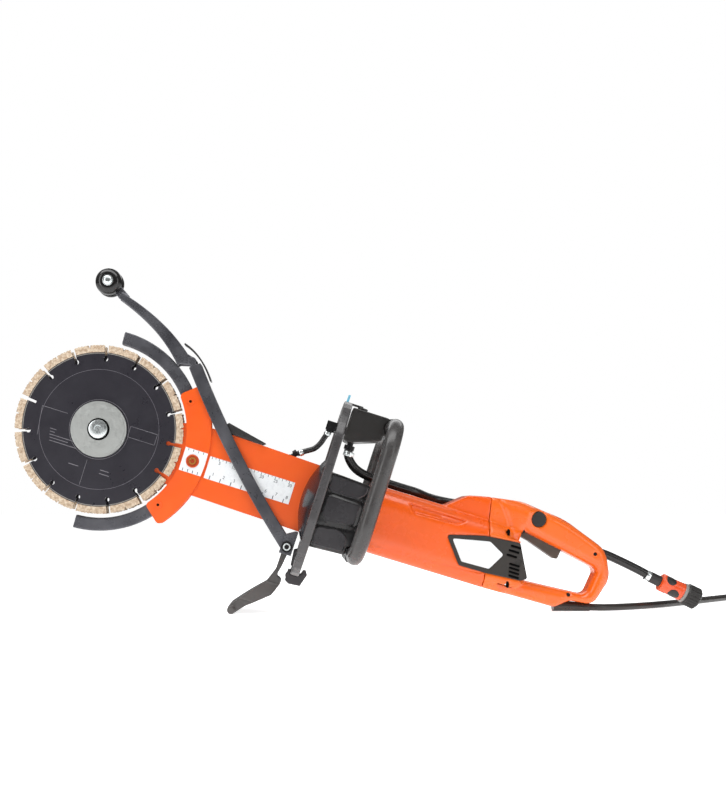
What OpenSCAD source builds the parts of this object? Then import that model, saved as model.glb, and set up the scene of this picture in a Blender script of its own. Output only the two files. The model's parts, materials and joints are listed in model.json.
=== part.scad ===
// Electric twin-blade cut-off saw for concrete, standing on its support foot.
// The machine frame has x rearwards along the machine from a point in the gear housing, z square to
// it and up, and y across, negative on the near side. machine() tilts that frame onto the floor, where
// z is up and the floor is z = 0. Blade-end pieces are drawn from the blade axis, inside front().

/* [Blades] */
// Outer diameter of each diamond blade
blade_d = 230; // [200:5:250]
// Radial height of a diamond segment
segment_h = 10; // [7:1:14]
// Thickness of a diamond segment, which is also the width of one blade's cut
segment_t = 3; // [2.4:0.1:3.4]
// Thickness of the steel core
core_t = 2.2; // [1.8:0.1:2.4]
// Number of segments, and of the slots between them
segment_count = 15; // [9:1:24]
// Diameter of the outer clamping flange
flange_d = 76; // [60:1:90]
// Diameter of the spindle that both blades sit on
spindle_d = 20; // [16:1:22]

/* [Arm] */
// Distance from the blade axis to the machine frame's origin, in the gear housing
arm_len = 340; // [300:5:420]
// Thickness of the hollow arm, which runs between the two blades
arm_t = 14; // [13:0.5:18]
// Thickness of each pressed arm cover
cover_t = 2; // [1.5:0.25:3]
// Width of the arm's edge rail
rail_w = 7; // [5:0.5:10]
// Height of the arm behind the fork
arm_h = 96; // [88:1:104]
// Height of the arm at the gear housing
arm_rear_h = 91.5; // [84:0.5:96]

/* [Belt drive] */
// Radius of the pulley between the blades
driven_r = 24; // [20:0.5:26]
// Radius of the drive pulley
drive_r = 13; // [11:0.5:14]
// Width of the flat belt
belt_w = 6; // [4:0.5:7]
// Thickness of the belt
belt_t = 2; // [1.5:0.25:2.5]
// Height of the motor axis above the arm's centre line
axis_z = -4.5; // [-8:0.5:0]
// Pitch radius of the crown gear
crown_r = 20.5; // [20:0.25:22]
// Number of pinion teeth, for each of which the crown gear has three
pinion_teeth = 9; // [8:1:10]

/* [Blade guard] */
// Gap between the blade's rim and the guard fingers
guard_gap = 5; // [3:0.5:8]
// Radial width of a guard finger
finger_w = 18; // [14:1:22]
// Radial width of the fork plates that hold the fingers
fork_w = 33.6; // [28:0.2:40]
// Thickness of a fork plate
fork_t = 2.5; // [2:0.25:3]
// Thickness of a guard link plate
link_t = 3; // [2:0.25:4]
// Half the width of the guard link
link_w = 8.5; // [7:0.25:10]
// Diameter of the two guide rollers
roller_d = 36.6; // [30:0.2:42]

/* [Splash shield] */
// Width of the splash shield
shield_w = 230; // [200:5:240]
// Height of the splash shield
shield_h = 242; // [225:1:250]
// Corner radius of the splash shield
shield_r = 78; // [50:1:90]
// Thickness of the clear sheet
shield_t = 3; // [2:0.5:4]
// Radial width of the rubber rim
rim_w = 9; // [6:0.5:12]

/* [Front handle] */
// Diameter of the handle tube
tube_d = 22; // [19:1:25]
// Width of the handle loop between tube centres
loop_w = 200; // [180:2:216]
// Height of the top bar above the arm's centre line
loop_top = 119; // [112:1:126]
// Height of the tube ends, which is negative below the arm's centre line
loop_bottom = -60; // [-66:1:-60]

/* [Motor and rear handle] */
// Width and height of the motor housing
motor_d = 91; // [88:1:100]
// Wall of the plastic housings
wall = 3; // [2:0.25:4]
// Width of the rear handle's grip
grip_w = 38; // [34:1:44]
// Width of the gear housing
gear_w = 100; // [92:1:106]
// How far the trigger turns when it is pressed, in degrees
trigger_travel = 8; // [4:1:10]

/* [Hoses and cord] */
// Outer diameter of the water supply hose
hose_d = 12; // [10:0.5:13]
// Outer diameter of the feed hose to the arm
feed_d = 7.5; // [6:0.5:8]
// Diameter of the power cord
cord_d = 9.5; // [8:0.5:10]
// Radius of the knurled hose nut
nut_r = 15.5; // [13:0.5:17]

/* [Hidden] */
$fn = 64;

fit = 0.05;
gap = 0.4;
rest_tilt = 17.5;
drive_x = 35.46;
drive_z = 145.6;

blade_r = blade_d / 2;
arm_half = arm_t / 2;
blade_gap = 1;
blade_y = arm_half + blade_gap;
fork_y = arm_half + fork_t;
link_y = fork_y + 1;
fork_r0 = blade_r + 4;
fork_r1 = fork_r0 + fork_w;
finger_r0 = blade_r + guard_gap;
finger_r1 = finger_r0 + finger_w;
core_r = blade_r - segment_h;
gear_ratio = 3;
gear_teeth = gear_ratio * pinion_teeth;
pinion_r = crown_r / gear_ratio;
crown_face = -pinion_r + 1.3;

pivot = [-48.8, -75.3];
pin_r = 5;
hinge = polar(blade_r + 41.6, 53.6);
roller = polar(blade_r + 86.8, 103.8);
shield_x = -27.5;
shield_mid = 13;
loop_x = 40;
loop_r = 45;
seam_top = [194, 70.5];
seam_low = [216, -47.7];
mount_top = -50.6;
foot_r = 5.5;
foot_half = 46;
foot_tip_x = -94;
trigger_pin = [250, 41];
trigger_w = 17;
button_at = [264.5, 62.6];
button_r = 10;

function polar(r, a) = [r * cos(a), r * sin(a)];
function unit(v) = v / norm(v);
function xy(p) = [p[0], p[1]];
function left(v) = [-v[1], v[0]];
// height in the machine frame at which a point at x stands h above the floor
function floor_z(x, h) = (h - drive_z + x * sin(rest_tilt)) / cos(rest_tilt);
function to_floor(p) = [
    drive_x + p[0] * cos(rest_tilt) + p[2] * sin(rest_tilt),
    p[1],
    drive_z - p[0] * sin(rest_tilt) + p[2] * cos(rest_tilt)
];

// corners [x, y, radius] become an outline whose corners are arcs of n steps
function wrap_angle(a) = a > 180 ? a - 360 : (a < -180 ? a + 360 : a);
function corner_arc(p, q, s, r, n) =
    let (d1 = unit(p - q), d2 = unit(s - q))
    let (half = acos(max(-1, min(1, d1 * d2))) / 2)
    let (centre = q + unit(d1 + d2) * r / sin(half))
    let (t1 = q + d1 * r / tan(half) - centre, t2 = q + d2 * r / tan(half) - centre)
    let (a1 = atan2(t1[1], t1[0]), turn = wrap_angle(atan2(t2[1], t2[0]) - a1))
    [for (i = [0 : n]) centre + polar(r, a1 + turn * i / n)];
function rounded(c, n = 6) = [
    for (i = [0 : len(c) - 1])
        let (p = xy(c[(i + len(c) - 1) % len(c)]), q = xy(c[i]), s = xy(c[(i + 1) % len(c)]))
        each (c[i][2] < 0.05 ? [q] : corner_arc(p, q, s, c[i][2], n))
];
// the same corners moved inwards by d; the corners run anticlockwise
function inset(c, d) = [
    for (i = [0 : len(c) - 1])
        let (p = xy(c[(i + len(c) - 1) % len(c)]), q = xy(c[i]), s = xy(c[(i + 1) % len(c)]))
        let (n1 = left(unit(q - p)), n2 = left(unit(s - q)))
        let (m = q + (n1 + n2) * d / (1 + n1 * n2), bend = n1[0] * n2[1] - n1[1] * n2[0])
        [m[0], m[1], max(0, c[i][2] + (bend > 0 ? -d : d))]
];

// a strip along a quadratic curve; lo and hi are its offsets to the left at the start and the end
function curve(p, t) = p[0] * (1 - t) * (1 - t) + 2 * p[1] * t * (1 - t) + p[2] * t * t;
function slope(p, t) = unit((p[1] - p[0]) * (1 - t) + (p[2] - p[1]) * t);
function strip(p, lo, hi, n = 10) = concat(
    [for (i = [0 : n]) curve(p, i / n) + left(slope(p, i / n)) * (lo[0] + (lo[1] - lo[0]) * i / n)],
    [for (i = [n : -1 : 0]) curve(p, i / n) + left(slope(p, i / n)) * (hi[0] + (hi[1] - hi[0]) * i / n)]
);

// a smooth route through hand-picked points, with n rings for each stretch
function spline(a, b, c, d, t) =
    0.5 * (2 * b + (c - a) * t + (2 * a - 5 * b + 4 * c - d) * t * t + (3 * b - a - 3 * c + d) * t * t * t);
function route(p, n) = [
    for (i = [0 : len(p) - 2])
        for (k = [0 : (i == len(p) - 2 ? n : n - 1)])
            spline(p[max(i - 1, 0)], p[i], p[i + 1], p[min(i + 2, len(p) - 1)], k / n)
];
module tube(p, d, sides = 10, up = [0, 0, 1]) {
    last = len(p) - 1;
    rings = [
        for (i = [0 : last])
            let (t = unit(p[min(i + 1, last)] - p[max(i - 1, 0)]))
            let (s = unit(cross(t, up)), n = cross(s, t))
            for (k = [0 : sides - 1]) p[i] + (s * cos(k * 360 / sides) + n * sin(k * 360 / sides)) * d / 2
    ];
    ends = [
        [for (k = [0 : sides - 1]) k],
        [for (k = [sides - 1 : -1 : 0]) last * sides + k]
    ];
    walls = [
        for (i = [0 : last - 1])
            for (k = [0 : sides - 1])
                let (m = (k + 1) % sides)
                each [
                    [i * sides + k, (i + 1) * sides + k, i * sides + m],
                    [i * sides + m, (i + 1) * sides + k, (i + 1) * sides + m]
                ]
    ];
    polyhedron(points = rings, faces = concat(ends, walls));
}

// placing and extruding
module machine() translate([drive_x, 0, drive_z]) rotate([0, rest_tilt, 0]) children();
module front() machine() translate([-arm_len, 0, 0]) children();
module slab(y0, y1) translate([0, y1, 0]) rotate([90, 0, 0]) linear_extrude(y1 - y0) children();
module both(y0, y1) {
    slab(y0, y1) children();
    slab(-y1, -y0) children();
}
module along(x0, x1) translate([x0, 0, 0]) rotate([90, 0, 90]) linear_extrude(x1 - x0) children();
module pin(at, r, y0, y1) translate([at[0], y1, at[1]]) rotate([90, 0, 0]) cylinder(r = r, h = y1 - y0);
module rod(r, x0, x1, z = 0) translate([x0, 0, z]) rotate([0, 90, 0]) cylinder(r = r, h = x1 - x0);
module soft_square(w, h, r, steps = 8)
    polygon(rounded([[-w / 2, -h / 2, r], [w / 2, -h / 2, r], [w / 2, h / 2, r], [-w / 2, h / 2, r]], steps));
module sector(r0, r1, a0, a1) {
    reach = 2 * r1;
    mid = (a0 + a1) / 2;
    intersection() {
        difference() {
            circle(r1, $fn = 128);
            circle(r0, $fn = 128);
        }
        polygon([[0, 0], polar(reach, a0), polar(reach, (a0 + mid) / 2), polar(reach, mid),
            polar(reach, (a1 + mid) / 2), polar(reach, a1)]);
    }
}
// outline of a belt round two circles, the second one at end
module belt_shape(r0, r1, end, steps = 45) {
    lean = atan2(end[1], end[0]);
    open = acos((r0 - r1) / norm(end));
    polygon(concat(
        [for (i = [0 : steps]) polar(r0, lean + open + (360 - 2 * open) * i / steps)],
        [for (i = [0 : steps]) end + polar(r1, lean - open + 2 * open * i / steps)]
    ));
}

// ---- hollow arm, drawn from the blade axis ----
function arm_top(x) = arm_h / 2 - (arm_h - arm_rear_h) / 2 * max(0, x - fork_r1) / (arm_len - fork_r1);
module arm_outline(d = 0) {
    nose = 34 - d;
    back = arm_len - 23 - d;
    neck = blade_r - 10;
    circle(nose, $fn = 96);
    polygon([[0, nose], [neck, 42 - d], [fork_r0, arm_h / 2 - d], [fork_r1, arm_h / 2 - d],
        [back, arm_top(back) - d - 2.5], [back, -arm_top(back) + d - 5.5], [fork_r1, d - arm_h / 2],
        [fork_r0, d - arm_h / 2], [neck, d - 42], [0, -nose]]);
}
module arm_tongue(d = 0) translate([arm_len - 30, -40 + d]) square([12 + (d > 0 ? 1 : 0), 70 - 2 * d]);

module arm_frame() color("orangered") front() slab(-(arm_half - cover_t), arm_half - cover_t) difference() {
    union() {
        arm_outline();
        arm_tongue();
    }
    arm_outline(rail_w);
    arm_tongue(rail_w);
    translate([arm_len - 32, -40 + rail_w]) square([10, 70 - 2 * rail_w]);
}
module arm_cover(side) color("orangered") front()
    slab(side > 0 ? arm_half - cover_t : -arm_half, side > 0 ? arm_half : cover_t - arm_half) difference() {
        union() {
            arm_outline();
            arm_tongue();
        }
        circle(bearing_r);
    }
module arm_cover_near() arm_cover(-1);
module arm_cover_far() arm_cover(1);

fork_screws = [for (a = [-34.5, 34.5]) polar(fork_r0 + 11, a)];
adjuster = [fork_r0 + 15, -2.8];
cover_screws = [[arm_len - 120, 34], [arm_len - 120, -38], [arm_len - 60, 32], [arm_len - 60, -40]];
module arm_screws() color("dimgray") front() {
    for (p = fork_screws) {
        pin(p, 4.6, fork_y, fork_y + 1.2);
        pin(p, 4.6, -fork_y - 1.2, -fork_y);
    }
    difference() {
        pin(adjuster, 8.3, -fork_y - 2, -fork_y - 0.8);
        pin(adjuster, 3.2, -fork_y - 2.5, -fork_y - 1.6, $fn = 6);
    }
    for (p = cover_screws) {
        pin(p, 3.5, arm_half, arm_half + 1.5);
    }
}

// ---- fork plates and guard fingers ----
fork_arc = 41;
fork_corner = 6;
fork_outline = concat(
    [for (i = [0 : 24]) let (p = polar(fork_r0, fork_arc - i * fork_arc / 12)) [p[0], p[1], i % 24 == 0 ? fork_corner : 0]],
    [for (i = [0 : 24]) let (p = polar(fork_r1, i * fork_arc / 12 - fork_arc)) [p[0], p[1], i % 24 == 0 ? fork_corner : 0]]
);
module fork_plates() color("orangered") front() difference() {
    both(arm_half, fork_y) polygon(rounded(fork_outline));
    for (p = fork_screws) pin(p, 2, -fork_y - 1, fork_y + 1);
}
module guard_fingers() color("gray") front() slab(-arm_half, arm_half) {
    sector(finger_r0, finger_r1, 30, 93);
    sector(finger_r0, finger_r1, -88, -30);
}
scale_len = arm_len - fork_r1 - 66.4;
module scale_plates() front() {
    plate = 0.6;
    slab(-fork_y - plate, -fork_y) difference() {
        intersection() {
            translate([fork_r0 + 0.6, -19.5]) square([fork_w - 1.6, 32.5]);
            sector(fork_r0 + 0.5, fork_r1 - 1, -20, 20);
        }
        translate(adjuster) circle(9);
    }
    slab(-arm_half - plate, -arm_half) translate([fork_r1 + 2.4, -20]) square([scale_len, 31]);
    slab(arm_half, arm_half + plate) translate([fork_r1 + 2.4, -20]) square([scale_len, 31]);
}
module deflector() color("black") front() slab(-10, 10)
    polygon([[fork_r1 + 3, 48.2], [fork_r1 + 9, 56], [fork_r1 + 13, 62], [fork_r1 + 22, 60],
        [fork_r1 + 70, 50], [fork_r1 + 66, 47]]);

// ---- twin blades ----
bearing_r = 14;
bearing_in = spindle_d / 2;
spindle_end = blade_y + segment_t + 4;
flange_t = 4;
core_y = blade_y + (segment_t - core_t) / 2;
slot_w = 3.5;
hole_r = 3.2;
slot_base = core_r - 9;
first_slot = -66;
module core_shape() difference() {
    circle(core_r, $fn = 128);
    circle(spindle_d / 2 + fit);
    for (i = [0 : segment_count - 1]) rotate(first_slot + i * 360 / segment_count) {
        translate([slot_base, -slot_w / 2]) square([core_r, slot_w]);
        translate([slot_base, 0]) circle(hole_r, $fn = 24);
    }
}
module blade_near() color("dimgray") front() slab(-core_y - core_t, -core_y) core_shape();
module blade_far() color("dimgray") front() slab(core_y, core_y + core_t) core_shape();
module blade_segments() color("tan") front() both(blade_y, blade_y + segment_t)
    for (i = [0 : segment_count - 1]) rotate(first_slot + (i + 0.5) * 360 / segment_count) intersection() {
        difference() {
            circle(blade_r, $fn = 128);
            circle(core_r, $fn = 128);
        }
        polygon([[0, 0], [blade_r * 1.4, -blade_r * 1.4 * tan(180 / segment_count)],
            [blade_r * 1.4, blade_r * 1.4 * tan(180 / segment_count)]]);
        translate([0, -blade_r * sin(180 / segment_count) + 2.6])
            square([blade_r * 1.2, 2 * blade_r * sin(180 / segment_count) - 5.2]);
    }
module spindle() color("silver") front() difference() {
    pin([0, 0], spindle_d / 2, -spindle_end, spindle_end);
    pin([0, 0], 4, -spindle_end - 1, spindle_end + 1);
}
module clamp_flanges() color("lightgray") front() {
    outer = blade_y + segment_t;
    for (s = [-1, 1]) difference() {
        union() {
            pin([0, 0], flange_d / 2, s > 0 ? core_y + core_t : -outer - flange_t + 0.6,
                s > 0 ? outer + flange_t - 0.6 : -core_y - core_t);
            pin([0, 0], flange_d / 2 - 3, s > 0 ? outer : -outer - flange_t, s > 0 ? outer + flange_t : -outer);
        }
        pin([0, 0], spindle_d / 2 + fit, -40, 40);
    }
    for (s = [-1, 1]) difference() {
        pin([0, 0], 18, s > 0 ? arm_half + 0.4 : -core_y, s > 0 ? core_y : -arm_half - 0.4);
        pin([0, 0], spindle_d / 2 + fit, -40, 40);
    }
}
module blade_bolts() color("gainsboro") front() for (s = [-1, 1]) {
    face = spindle_end;
    pin([0, 0], 3.9, s > 0 ? 0.5 : -face, s > 0 ? face : -0.5);
    difference() {
        pin([0, 0], 12.7, s > 0 ? face : -face - 5, s > 0 ? face + 5 : -face);
        pin([0, 0], 4, s > 0 ? face + 2 : -face - 6, s > 0 ? face + 6 : -face - 2, $fn = 6);
    }
}
module driven_pulley() color("darkgray") front() difference() {
    union() {
        pin([0, 0], driven_r, -belt_w / 2 - 0.4, belt_w / 2 + 0.4);
    }
    pin([0, 0], spindle_d / 2, -10, 10);
    for (a = [0 : 60 : 300]) pin(polar(17, a), 3, -10, 10);
}
module drive_belt() color("black") front() slab(-belt_w / 2, belt_w / 2) difference() {
    belt_shape(driven_r + 1.5 * fit + belt_t, drive_r + 1.5 * fit + belt_t, [arm_len, 0] + drive_at);
    belt_shape(driven_r + 1.5 * fit, drive_r + 1.5 * fit, [arm_len, 0] + drive_at);
}

// ---- drive pulley, crown gear, rotor ----
shaft_r = 6;
housing_near = -(gear_w / 2 - 26);
housing_far = gear_w / 2 - 26;
drive_at = [8, axis_z];
module pulley_shaft() color("silver") machine() pin(drive_at, shaft_r, housing_near - 8, 15);
module drive_pulley() color("darkgray") machine() difference() {
    pin(drive_at, drive_r, -belt_w / 2 - 0.4, belt_w / 2 + 0.4);
    pin(drive_at, shaft_r, -10, 10);
}
tooth_h = 3;
tooth_w = 1.2;
tooth_in = 2;
tooth_len = 5;
module crown_gear() color("silver") machine() {
    disc = crown_face - tooth_h;
    difference() {
        pin(drive_at, crown_r + 4, disc - 5.5, disc);
        pin(drive_at, shaft_r, -40, 10);
    }
    translate([drive_at[0], 0, axis_z]) for (i = [0 : gear_teeth - 1]) rotate([0, i * 360 / gear_teeth, 0])
        translate([crown_r - tooth_in, disc - 0.5, -tooth_w / 2]) cube([tooth_len, tooth_h + 0.5, tooth_w]);
}
pinion_x0 = drive_at[0] + crown_r - tooth_in - 0.5;
pinion_len = tooth_len + 1;
rotor_front = 44;
rotor_r = 5;
module rotor_shaft() color("silver") machine() {
    rod(rotor_r, pinion_x0 + pinion_len + 0.5, 136, axis_z);
    rod(pinion_r - 2.4, pinion_x0, pinion_x0 + pinion_len + 1, axis_z);
    translate([pinion_x0, 0, axis_z]) for (i = [0 : pinion_teeth - 1])
        rotate([(i + 0.5) * 360 / pinion_teeth, 0, 0]) translate([0, -pinion_r - 1, -tooth_w / 2])
            cube([pinion_len, 4, tooth_w]);
}
module armature() color("sienna") machine() {
    difference() {
        union() {
            rod(26, 62, 108, axis_z);
            rod(20, 56, 62, axis_z);
            rod(20, 108, 110.5, axis_z);
            rod(14, 112, 126, axis_z);
            rod(9, 111, 112.5, axis_z);
        }
        rod(rotor_r, 0, 200, axis_z);
        for (a = [0 : 30 : 330]) translate([0, 0, axis_z]) rotate([a, 0, 0]) translate([61, 22, -1.2]) cube([48, 6, 2.4]);
    }
}
module cooling_fan() color("gray") machine() {
    difference() {
        union() {
            rod(9, rotor_front + 3.5, rotor_front + 11, axis_z);
            rod(33, rotor_front + 3.5, rotor_front + 5, axis_z);
        }
        rod(rotor_r, 0, 200, axis_z);
    }
    translate([0, 0, axis_z]) for (a = [0 : 30 : 330]) rotate([a, 0, 0])
        translate([rotor_front + 4.5, 8, -0.8]) cube([6, 24, 1.6]);
}
module stator() color("dimgray") machine() difference() {
    union() {
        rod(38, 64, 106, axis_z);
        rod(34, 60, 110, axis_z);
    }
    rod(27, 50, 120, axis_z);
    for (s = [-1, 1]) translate([0, 0, axis_z + s * 33]) rod(4, 50, 120);
}
module ring_x(r0, r1, x0, x1) difference() {
    rod(r1, x0, x1, axis_z);
    rod(r0, x0 - 1, x1 + 1, axis_z);
}
module ring_y(at, r0, r1, y0, y1) difference() {
    pin(at, r1, y0, y1);
    pin(at, r0, y0 - 1, y1 + 1);
}
module shaft_bearings() color("lightgray") {
    machine() {
        ring_x(rotor_r + fit, 12, 38.5, 43.5);
        ring_x(rotor_r + fit, 11, 128, 134);
        ring_y(drive_at, shaft_r + fit, 13, housing_near - 7, housing_near);
        ring_y(drive_at, shaft_r + fit, 13, 6, 13);
    }
    front() {
        ring_y([0, 0], bearing_in + fit, bearing_r, belt_w / 2 + 0.8, arm_half);
        ring_y([0, 0], bearing_in + fit, bearing_r, -arm_half, -belt_w / 2 - 0.8);
    }
}
module brush_gear() color("darkgoldenrod") machine() for (s = [-1, 1]) {
    translate([114, s > 0 ? 14.1 : -32.1, axis_z - 3]) cube([10, 18, 6]);
    translate([111, s > 0 ? 19 : -37, axis_z - 6]) difference() {
        cube([16, 18, 12]);
        translate([2.95, -1, 2.95]) cube([10.1, 14.1, 6.1]);
    }
}

// ---- gear housing ----
module gear_section(d = 0) translate([0, -13]) soft_square(gear_w - 2 * d, 106 - 2 * d, 24 - d);
module gear_side(d = 0) polygon([[-22 + d, 39.4 - d], [-22 + d, d - 65.4], [27.5 - d, d - 62], [27.5 - d, mount_top + d],
    [35 - d, mount_top + d], [35 - d, 36.4 - d]]);
module gear_body() intersection() {
    along(-22, 35) gear_section();
    slab(-60, 60) gear_side();
}
module gear_housing() color("dimgray") machine() difference() {
    intersection() {
        gear_body();
        translate([-40, housing_near, -100]) cube([100, housing_far - housing_near, 200]);
    }
    translate([-23, -arm_half - fit, -40 - fit]) cube([5 + fit, arm_t + 2 * fit, 70 + 2 * fit]);
    translate([-19, -belt_w / 2 - 1, axis_z - 24]) cube([27, belt_w + 2, 48]);
    pin(drive_at, drive_r + belt_t + 3, -belt_w / 2 - 1, belt_w / 2 + 1);
    pin(drive_at, crown_r + 5, housing_near - 1, crown_face + 0.6);
    pin(drive_at, 9, -10, 13);
    pin(drive_at, 13, 6, 13);
    pin(drive_at, 9, 12, 18);
    rod(pinion_r + 3, pinion_x0 - 2, 36, axis_z);
}
module gear_cover(s) intersection() {
    difference() {
        gear_body();
        pin(drive_at, 13, housing_near - 7, housing_near + 1);
        pin(drive_at, 9, housing_near - 11, housing_near + 1);
        difference() {
            intersection() {
                along(-22 + wall, 35 - wall) gear_section(wall);
                slab(-60, 60) gear_side(wall);
            }
            if (s < 0) pin(drive_at, 18, -60, 0);
            for (p = cover_screw_at) pin(p, 5, -60, 60);
        }
    }
    translate([-40, s > 0 ? housing_far : -60, -100]) cube([100, 60 - housing_far, 200]);
}
cover_screw_at = [[-12.5, 28], [25.5, 25], [-12.5, -54], [18.5, -51]];
module gear_covers() color("black") machine() difference() {
    union() {
        gear_cover(-1);
        gear_cover(1);
        both(gear_w / 2, gear_w / 2 + 2)
            polygon(rounded([[-14, 8, 4], [-18, 2, 4], [-18, -20, 4], [-8, -27, 4], [28, -21, 4], [28, 7, 4]]));
    }
    both(gear_w / 2 - 1.5, gear_w / 2 + 3) {
        translate([-30, 11]) square([70, 3]);
        polygon([[-30, -32.5], [35, -25.5], [35, -28.5], [-30, -35.5]]);
    }
}

// ---- motor housing ----
module body_section(d = 0) {
    translate([0, axis_z]) soft_square(motor_d - 2 * d, motor_d - 2 * d, 24 - d);
    translate([0, 34]) soft_square(58 - 2 * d, 90 - 2 * d, 17 - d);
}
module motor_housing() color("orangered") machine() difference() {
    intersection() {
        along(35, 220) body_section();
        slab(-60, 60) polygon(rounded([[35, -50, 0], [216.2, -48, 0], [193.8, 72, 0], [163, 64.5, 12],
            [137, 42, 12], [35, 41, 0]]));
    }
    rod(38 + fit, 44, 127, axis_z);
    rod(12, 30, 45, axis_z);
    rod(11, 120, 140, axis_z);
    intersection() {
        along(134, 225) body_section(wall);
        slab(-60, 60) polygon([[134, -45], [224, -45], [198, 67], [164, 60.5], [140, 39], [134, 38]]);
    }
    panel_pocket();
    both(motor_d / 2 - 1.2, 60) polygon(rounded([[89, 40, 0], [93, 20, 5], [160, 20, 5], [176, 40, 0]]));
}
panel_corners = [[148.7, 5, 3], [176, -29, 6], [212, -28, 30], [260, -24, 5], [268, -19, 3], [245, 23.6, 4], [197.5, 18.8, 30]];
panel_depth = 2;
module panel_pocket() both(motor_d / 2 - panel_depth, 60) polygon(rounded(inset(panel_corners, -0.15)));
louvres = concat(
    [for (i = [0 : 2]) [236 - i, 17 - 6.5 * i]],
    [for (i = [0 : 3]) [241 + i * 1.2, -6.5 - 5 * i]]
);
module side_panels() color("black") machine() difference() {
    both(motor_d / 2 - panel_depth, motor_d / 2 + 1) polygon(rounded(panel_corners));
    for (p = louvres) both(motor_d / 2 - 0.8, 60) translate([p[0] - 2, p[1] - 1.3]) square([14, 2.6]);
    both(motor_d / 2 - 0.8, 60) translate([250, -1.5]) circle(4);
}
module badge_plates() machine() both(motor_d / 2 + 1, motor_d / 2 + 1.6)
    polygon(rounded([[157, 2.5, 2], [177.5, -23, 3], [215, -21.5, 3], [228, 2, 3], [206, 13.5, 6]]));

module label_plates() color("white") {
    scale_plates();
    badge_plates();
}

// ---- rear handle ----
handle_outer = [[216.4, -48, 0], [322, -44.5, 10], [340, -29.5, 12], [372, -25.5, 16], [383, 16, 40],
    [366, 51, 34], [300, 73.5, 130], [236, 79, 60], [194, 71.5, 0]];
handle_gap = [[247, 42, 4], [246.5, 20, 8], [267, -22.5, 9], [357, -15.5, 10], [361.5, 22, 9], [308.5, 32, 40]];
plan_taper = [[180, 45.5, 0], [180, -45.5, 0], [226, -45.5, 12], [262, -grip_w / 2, 30], [390, -grip_w / 2, 0],
    [390, grip_w / 2, 0], [262, grip_w / 2, 30], [226, 45.5, 12]];
module handle_solid(d = 0) {
    difference() {
        union() {
            intersection() {
                slab(-60, 60) polygon(rounded(inset(handle_outer, d)));
                translate([0, 0, -100]) linear_extrude(200) polygon(rounded(inset(plan_taper, d)));
                along(190, 390) body_section(d);
            }
            intersection() {
                slab(-motor_d / 2 + d, motor_d / 2 - d)
                    polygon([[214 + d, -36], [200 + d, 26 - d], [249 - d, 26 - d], [270 - d, -21], [258, -36]]);
                slab(-60, 60) polygon(rounded(inset(handle_outer, d)));
            }
        }
        slab(-60, 60) polygon(rounded(inset(handle_gap, -d)));
    }
}
module seam_side(d = 0) polygon([[193.9 + d, 72], [216.3 + d, -48], [216.3 + d, -100], [420, -100], [420, 100], [193.9 + d, 100]]);
module handle_shell(s) intersection() {
    difference() {
        intersection() {
            handle_solid();
            slab(-60, 60) seam_side();
        }
        intersection() {
            handle_solid(wall);
            slab(-60, 60) seam_side(-5);
        }
        trigger_slot();
        panel_pocket();
        pin(button_at, button_r + 0.3, -60, 0);
        for (p = handle_screw_at) pin(p, 2.5, -60, 60);
        pin(trigger_pin, 2, -60, 60);
        rotate([0, -rest_tilt, 0]) translate([-drive_x, 0, -drive_z]) boot_shape(0.1);
    }
    translate([150, s > 0 ? 0 : -60, -100]) cube([300, 60, 200]);
}
handle_screw_at = [[226, 32.5], [245, -34], [334, -22.5], [352, 41]];
module trigger_slot() slab(-trigger_w / 2 - gap, trigger_w / 2 + gap)
    polygon([[243, 24], [243, 49], [262, 52], [314, 44], [312, 24]]);
module rear_handle_near() color("orangered") machine() handle_shell(-1);
module rear_handle_far() color("orange") machine() handle_shell(1);
module switch_module() color("darkslategray") machine() {
    difference() {
        translate([258, -13, 53.5]) cube([40, 26, 12.5]);
        pin(button_at, button_r + 0.6, -20, -5);
        pin(button_at, 3.4, -20, -3);
    }
    translate([168, -22, -12]) cube([26, 44, 30]);
    translate([171, -17, 18]) cube([20, 34, 5]);
}
module trigger() color("dimgray") machine() difference() {
    slab(-trigger_w / 2, trigger_w / 2) polygon(rounded([[244.8, 36, 3], [251, 33.5, 6], [263, 31, 8], [302.5, 18.5, 2],
        [307, 19.5, 1.5], [308.5, 32, 2], [306, 36.5, 2], [262, 45, 6], [252, 47, 4]]));
    pin(trigger_pin, 2 + fit, -20, 20);
}
module lock_button() color("black") machine() {
    pin(button_at, button_r, -grip_half - 1.5, -8);
    pin(button_at, 3, -8, -5.6);
}
grip_half = grip_w / 2;
module housing_screws() color("silver") machine() {
    for (p = handle_screw_at) pin(p, 2.4, p[0] < 240 ? -26 : -16.5, p[0] < 240 ? 26 : 16.5);
    pin(trigger_pin, 2, -grip_half, grip_half);
    for (p = cover_screw_at) {
        pin(p, 3.5, gear_w / 2, gear_w / 2 + 1.5);
        pin(p, 3.5, -gear_w / 2 - 1.5, -gear_w / 2);
    }
}

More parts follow.
